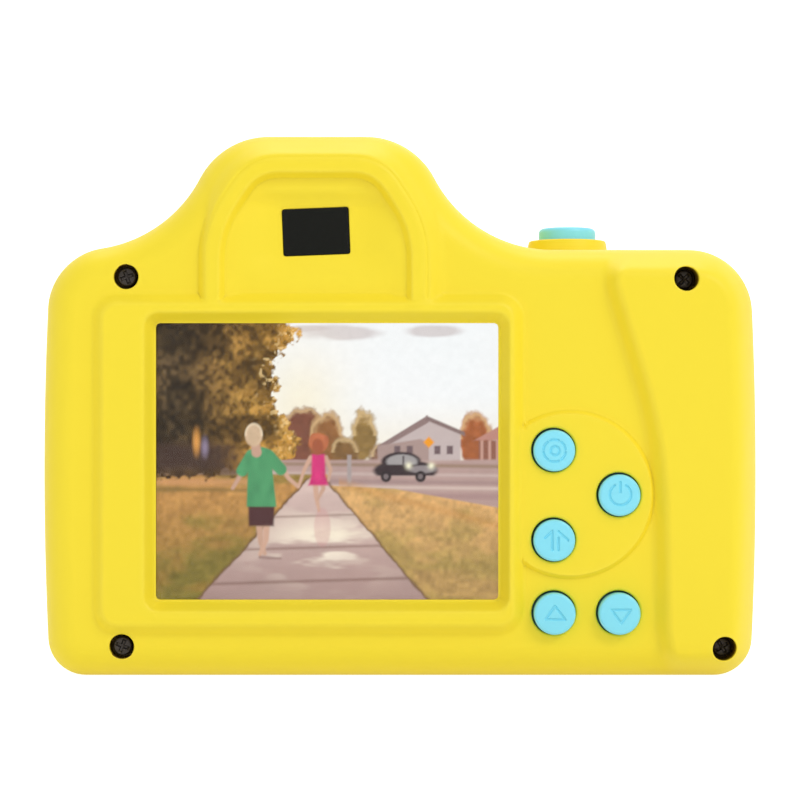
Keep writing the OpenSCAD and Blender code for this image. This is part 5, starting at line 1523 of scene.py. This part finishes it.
def circuitBoard():
    # solder mask with faint copper tracks under it
    material, tree, shader = startMaterial("circuitBoard")
    place = addNode(tree, "ShaderNodeTexCoord").outputs["Object"]
    stretch = addNode(tree, "ShaderNodeMapping", {"Vector": place, "Scale": (1000.0, 1000.0, 1000.0)})
    tracks = addNode(tree, "ShaderNodeTexBrick", {"Vector": stretch.outputs[0], "Scale": 0.4, "Mortar Size": 0.03,
                                                  "Color1": rgba(18, 92, 52), "Color2": rgba(14, 78, 44),
                                                  "Mortar": rgba(44, 128, 74)})
    speck = addNode(tree, "ShaderNodeTexNoise", {"Vector": place, "Scale": 900.0, "Detail": 3.0})
    rough = addNode(tree, "ShaderNodeMapRange", {"Value": speck.outputs["Fac"], "To Min": 0.25, "To Max": 0.5})
    tree.links.new(tracks.outputs["Color"], shader.inputs["Base Color"])
    tree.links.new(rough.outputs["Result"], shader.inputs["Roughness"])
    bump(tree, shader, tracks.outputs["Fac"], 0.00003, 0.3)
    return material


def litDisplay():
    # the painted colours shine by themselves on a dark glass
    material, tree, shader = startMaterial("litDisplay")
    painted = addNode(tree, "ShaderNodeAttribute", attribute_name="picture")
    place = addNode(tree, "ShaderNodeTexCoord").outputs["Object"]
    haze = addNode(tree, "ShaderNodeTexNoise", {"Vector": place, "Scale": 60.0, "Detail": 2.0})
    rough = addNode(tree, "ShaderNodeMapRange", {"Value": haze.outputs["Fac"], "To Min": 0.35, "To Max": 0.5})
    tree.links.new(painted.outputs["Color"], shader.inputs["Emission Color"])
    tree.links.new(rough.outputs["Result"], shader.inputs["Roughness"])
    shader.inputs["Base Color"].default_value = (0.004, 0.004, 0.004, 1)
    shader.inputs["Emission Strength"].default_value = 1.0
    shader.inputs["Specular IOR Level"].default_value = 0.1
    return material


# the dark brown is painted shade for the hollows and the walls of the screw and key holes
yellow, yellowDeep, yellowPale, hollowShade = (251, 227, 50), (247, 218, 41), (255, 238, 110), (92, 56, 8)
finishes = {
    "case_plastic": plastic("casePlastic", yellow, yellowDeep, 0.46, relief=0.3, wearAndShade=(yellowPale, hollowShade, 0.3),
                            shine=0.32),
    "key_plastic": plastic("keyPlastic", (138, 230, 250), (124, 222, 246), 0.34, 4200.0, 0.15,
                           wearAndShade=((190, 240, 252), (120, 190, 210), 0.3)),
    "clear_plastic": clearPlastic("clearPlastic", 1.2, (244, 250, 252)),
    "dark_pane": plastic("smokedPane", (10, 12, 4), (6, 7, 3), 0.12, 1500.0, 0.03, spread=0.06, shine=0.2),
    "display_glass": plastic("displayGlass", (40, 42, 48), (30, 31, 36), 0.15, 1500.0, 0.02),
    "white_plastic": plastic("whitePlastic", (232, 232, 226), (214, 214, 208), 0.5),
    "black_plastic": plastic("blackPlastic", (24, 24, 24), (34, 34, 35), 0.5, 4000.0, 0.35),
    "gray_plastic": plastic("grayPlastic", (92, 92, 96), (76, 76, 80), 0.5),
    "circuit_board": circuitBoard(),
    "flex_film": plastic("flexFilm", (188, 116, 40), (160, 92, 28), 0.3, 2200.0, 0.1, mottle=0.7),
    "bright_steel": metal("brightSteel", (196, 196, 200), (160, 158, 156), 0.22),
    "black_screw": metal("blackScrew", (86, 80, 76), (46, 40, 36), 0.26, 0.8),
    "cell_foil": metal("cellFoil", (200, 202, 206), (176, 178, 184), 0.35),
    "foam": plastic("foam", (38, 38, 38), (24, 24, 24), 0.9, 1800.0, 0.9),
    "red_wire": plastic("redWire", (196, 30, 26), (168, 22, 20), 0.45),
    "black_wire": plastic("blackWire", (26, 26, 26), (18, 18, 18), 0.45),
    "optical_glass": clearPlastic("opticalGlass", 1.5, (214, 226, 255)),
    "led_yellow": plastic("ledPhosphor", (236, 206, 74), (214, 178, 48), 0.25, 1500.0, 0.1, mottle=0.6),
}


def dress(piece, material):
    # the piece's only material
    piece.data.materials.clear()
    piece.data.materials.append(material)


print("materials")
for part in frame["record"]["subparts"]:
    dress(frame["nodes"][part["node"]], finishes[part["material_slot"]])
for piece in [rearShell, frontShell, shutterCollar, portDoor]:
    dress(piece, finishes["case_plastic"])
for piece in keyPieces + [shutterButton, lensRing]:
    dress(piece, finishes["key_plastic"])
dress(caseScrews, finishes["black_screw"])
dress(eyepiecePane, finishes["dark_pane"])
dress(displayWindow, finishes["clear_plastic"])
dress(litPicture, litDisplay())

# stage sizes and camera distances in millimetres; lamp places and sizes in metres
studio = {
    "floorR": 1500.0, "coveR": 900.0, "wallTop": 2600.0, "pale": (188, 188, 188),
    "glow": 0.42, "seenGlow": 0.95,
    "keyPower": 4.3, "keyAt": (0.75, -0.85, 0.95), "keySize": 0.5, "keyAim": (0, 0, 0.025),
    "topPower": 1.3, "topAt": (0.15, -0.9, 1.4), "topSize": 0.9, "topAim": (0, 0, 0.025),
    "backPower": 0.6, "backAt": (0.3, 1.1, 0.6), "backSize": 0.8, "backAim": (0, 0, 0.025),
    "washPower": 26.0, "washAt": (0.0, 0.7, 1.6), "washSize": 1.4, "washAim": (0, 2.5, 0.1),
    "air": 0.5,
    "lookZ": 28.6, "lookFrom": 225.0, "span": 81.73, "sensor": 36.0,
}


def makeStage():
    # round floor that curves up into a wall on all sides
    cove = np.radians(np.linspace(0, 90, 16))
    radius, r = studio["floorR"], studio["coveR"]
    profile = [[p, 0] for p in np.linspace(2, radius, 12)]
    profile += [[radius + r * math.sin(a), r * (1 - math.cos(a))] for a in cove[1:]]
    profile.append([radius + r, studio["wallTop"]])
    profile = np.array(profile)
    steps = 96
    angle = np.arange(steps) * 2 * np.pi / steps
    rows = [np.outer(profile[:, 0], np.cos(angle)), np.outer(profile[:, 0], np.sin(angle)),
            np.repeat(profile[:, 1:], steps, 1)]
    points = np.concatenate([np.stack(rows, -1).reshape(-1, 3), [[0, 0, 0]]])
    faces = [gridFaces(len(profile), steps), fan(len(points) - 1, np.arange(steps))]
    stage = makePiece("studioFloor", (points, faces))
    material, tree, shader = startMaterial("studioPaper")
    shader.inputs["Base Color"].default_value = rgba(*studio["pale"])
    shader.inputs["Roughness"].default_value = 0.9
    # paper lit from behind: a low glow on the object, and a bright one for whoever looks at the paper itself
    seen = addNode(tree, "ShaderNodeLightPath").outputs["Is Camera Ray"]
    glow = addNode(tree, "ShaderNodeMapRange",
                   {"Value": seen, "To Min": studio["glow"], "To Max": studio["seenGlow"]})
    tree.links.new(glow.outputs["Result"], shader.inputs["Emission Color"])
    shader.inputs["Emission Strength"].default_value = 1.0
    dress(stage, material)


def aim(item, target):
    # turns an object's -Z axis towards the target
    back = np.array(item.location) - np.asarray(target)
    item.rotation_mode = "QUATERNION"
    item.rotation_quaternion = Vector(-back).to_track_quat("-Z", "Y")


def addLight(name, power, place, size, target):
    # a round area lamp
    lamp = bpy.data.lights.new(name, "AREA")
    lamp.energy = power
    lamp.shape = "DISK"
    lamp.size = size
    item = bpy.data.objects.new(name, lamp)
    item.location = place
    bpy.context.scene.collection.objects.link(item)
    aim(item, target)


def makeCamera():
    # looks along +Y from behind; focal length = sensor * distance / width seen at the rear face
    data = bpy.data.cameras.new("camera")
    data.sensor_width = studio["sensor"]
    data.lens = studio["sensor"] * studio["lookFrom"] / studio["span"]
    data.clip_start = 0.02
    data.clip_end = 20
    item = bpy.data.objects.new("camera", data)
    item.location = (0, (rearY - studio["lookFrom"]) * mm, studio["lookZ"] * mm)
    item.rotation_euler = (math.radians(90), 0, 0)
    bpy.context.scene.collection.objects.link(item)
    bpy.context.scene.camera = item


print("studio")
makeStage()
for name in ("key", "top", "back", "wash"):
    addLight(name, *(studio[name + value] for value in ("Power", "At", "Size", "Aim")))
world = bpy.data.worlds.new("studioAir")
world.use_nodes = True
air = world.node_tree.nodes["Background"].inputs
air["Color"].default_value = (1, 1, 1, 1)
air["Strength"].default_value = studio["air"]
bpy.context.scene.world = world
bpy.context.scene.view_settings.view_transform = "Standard"
makeCamera()
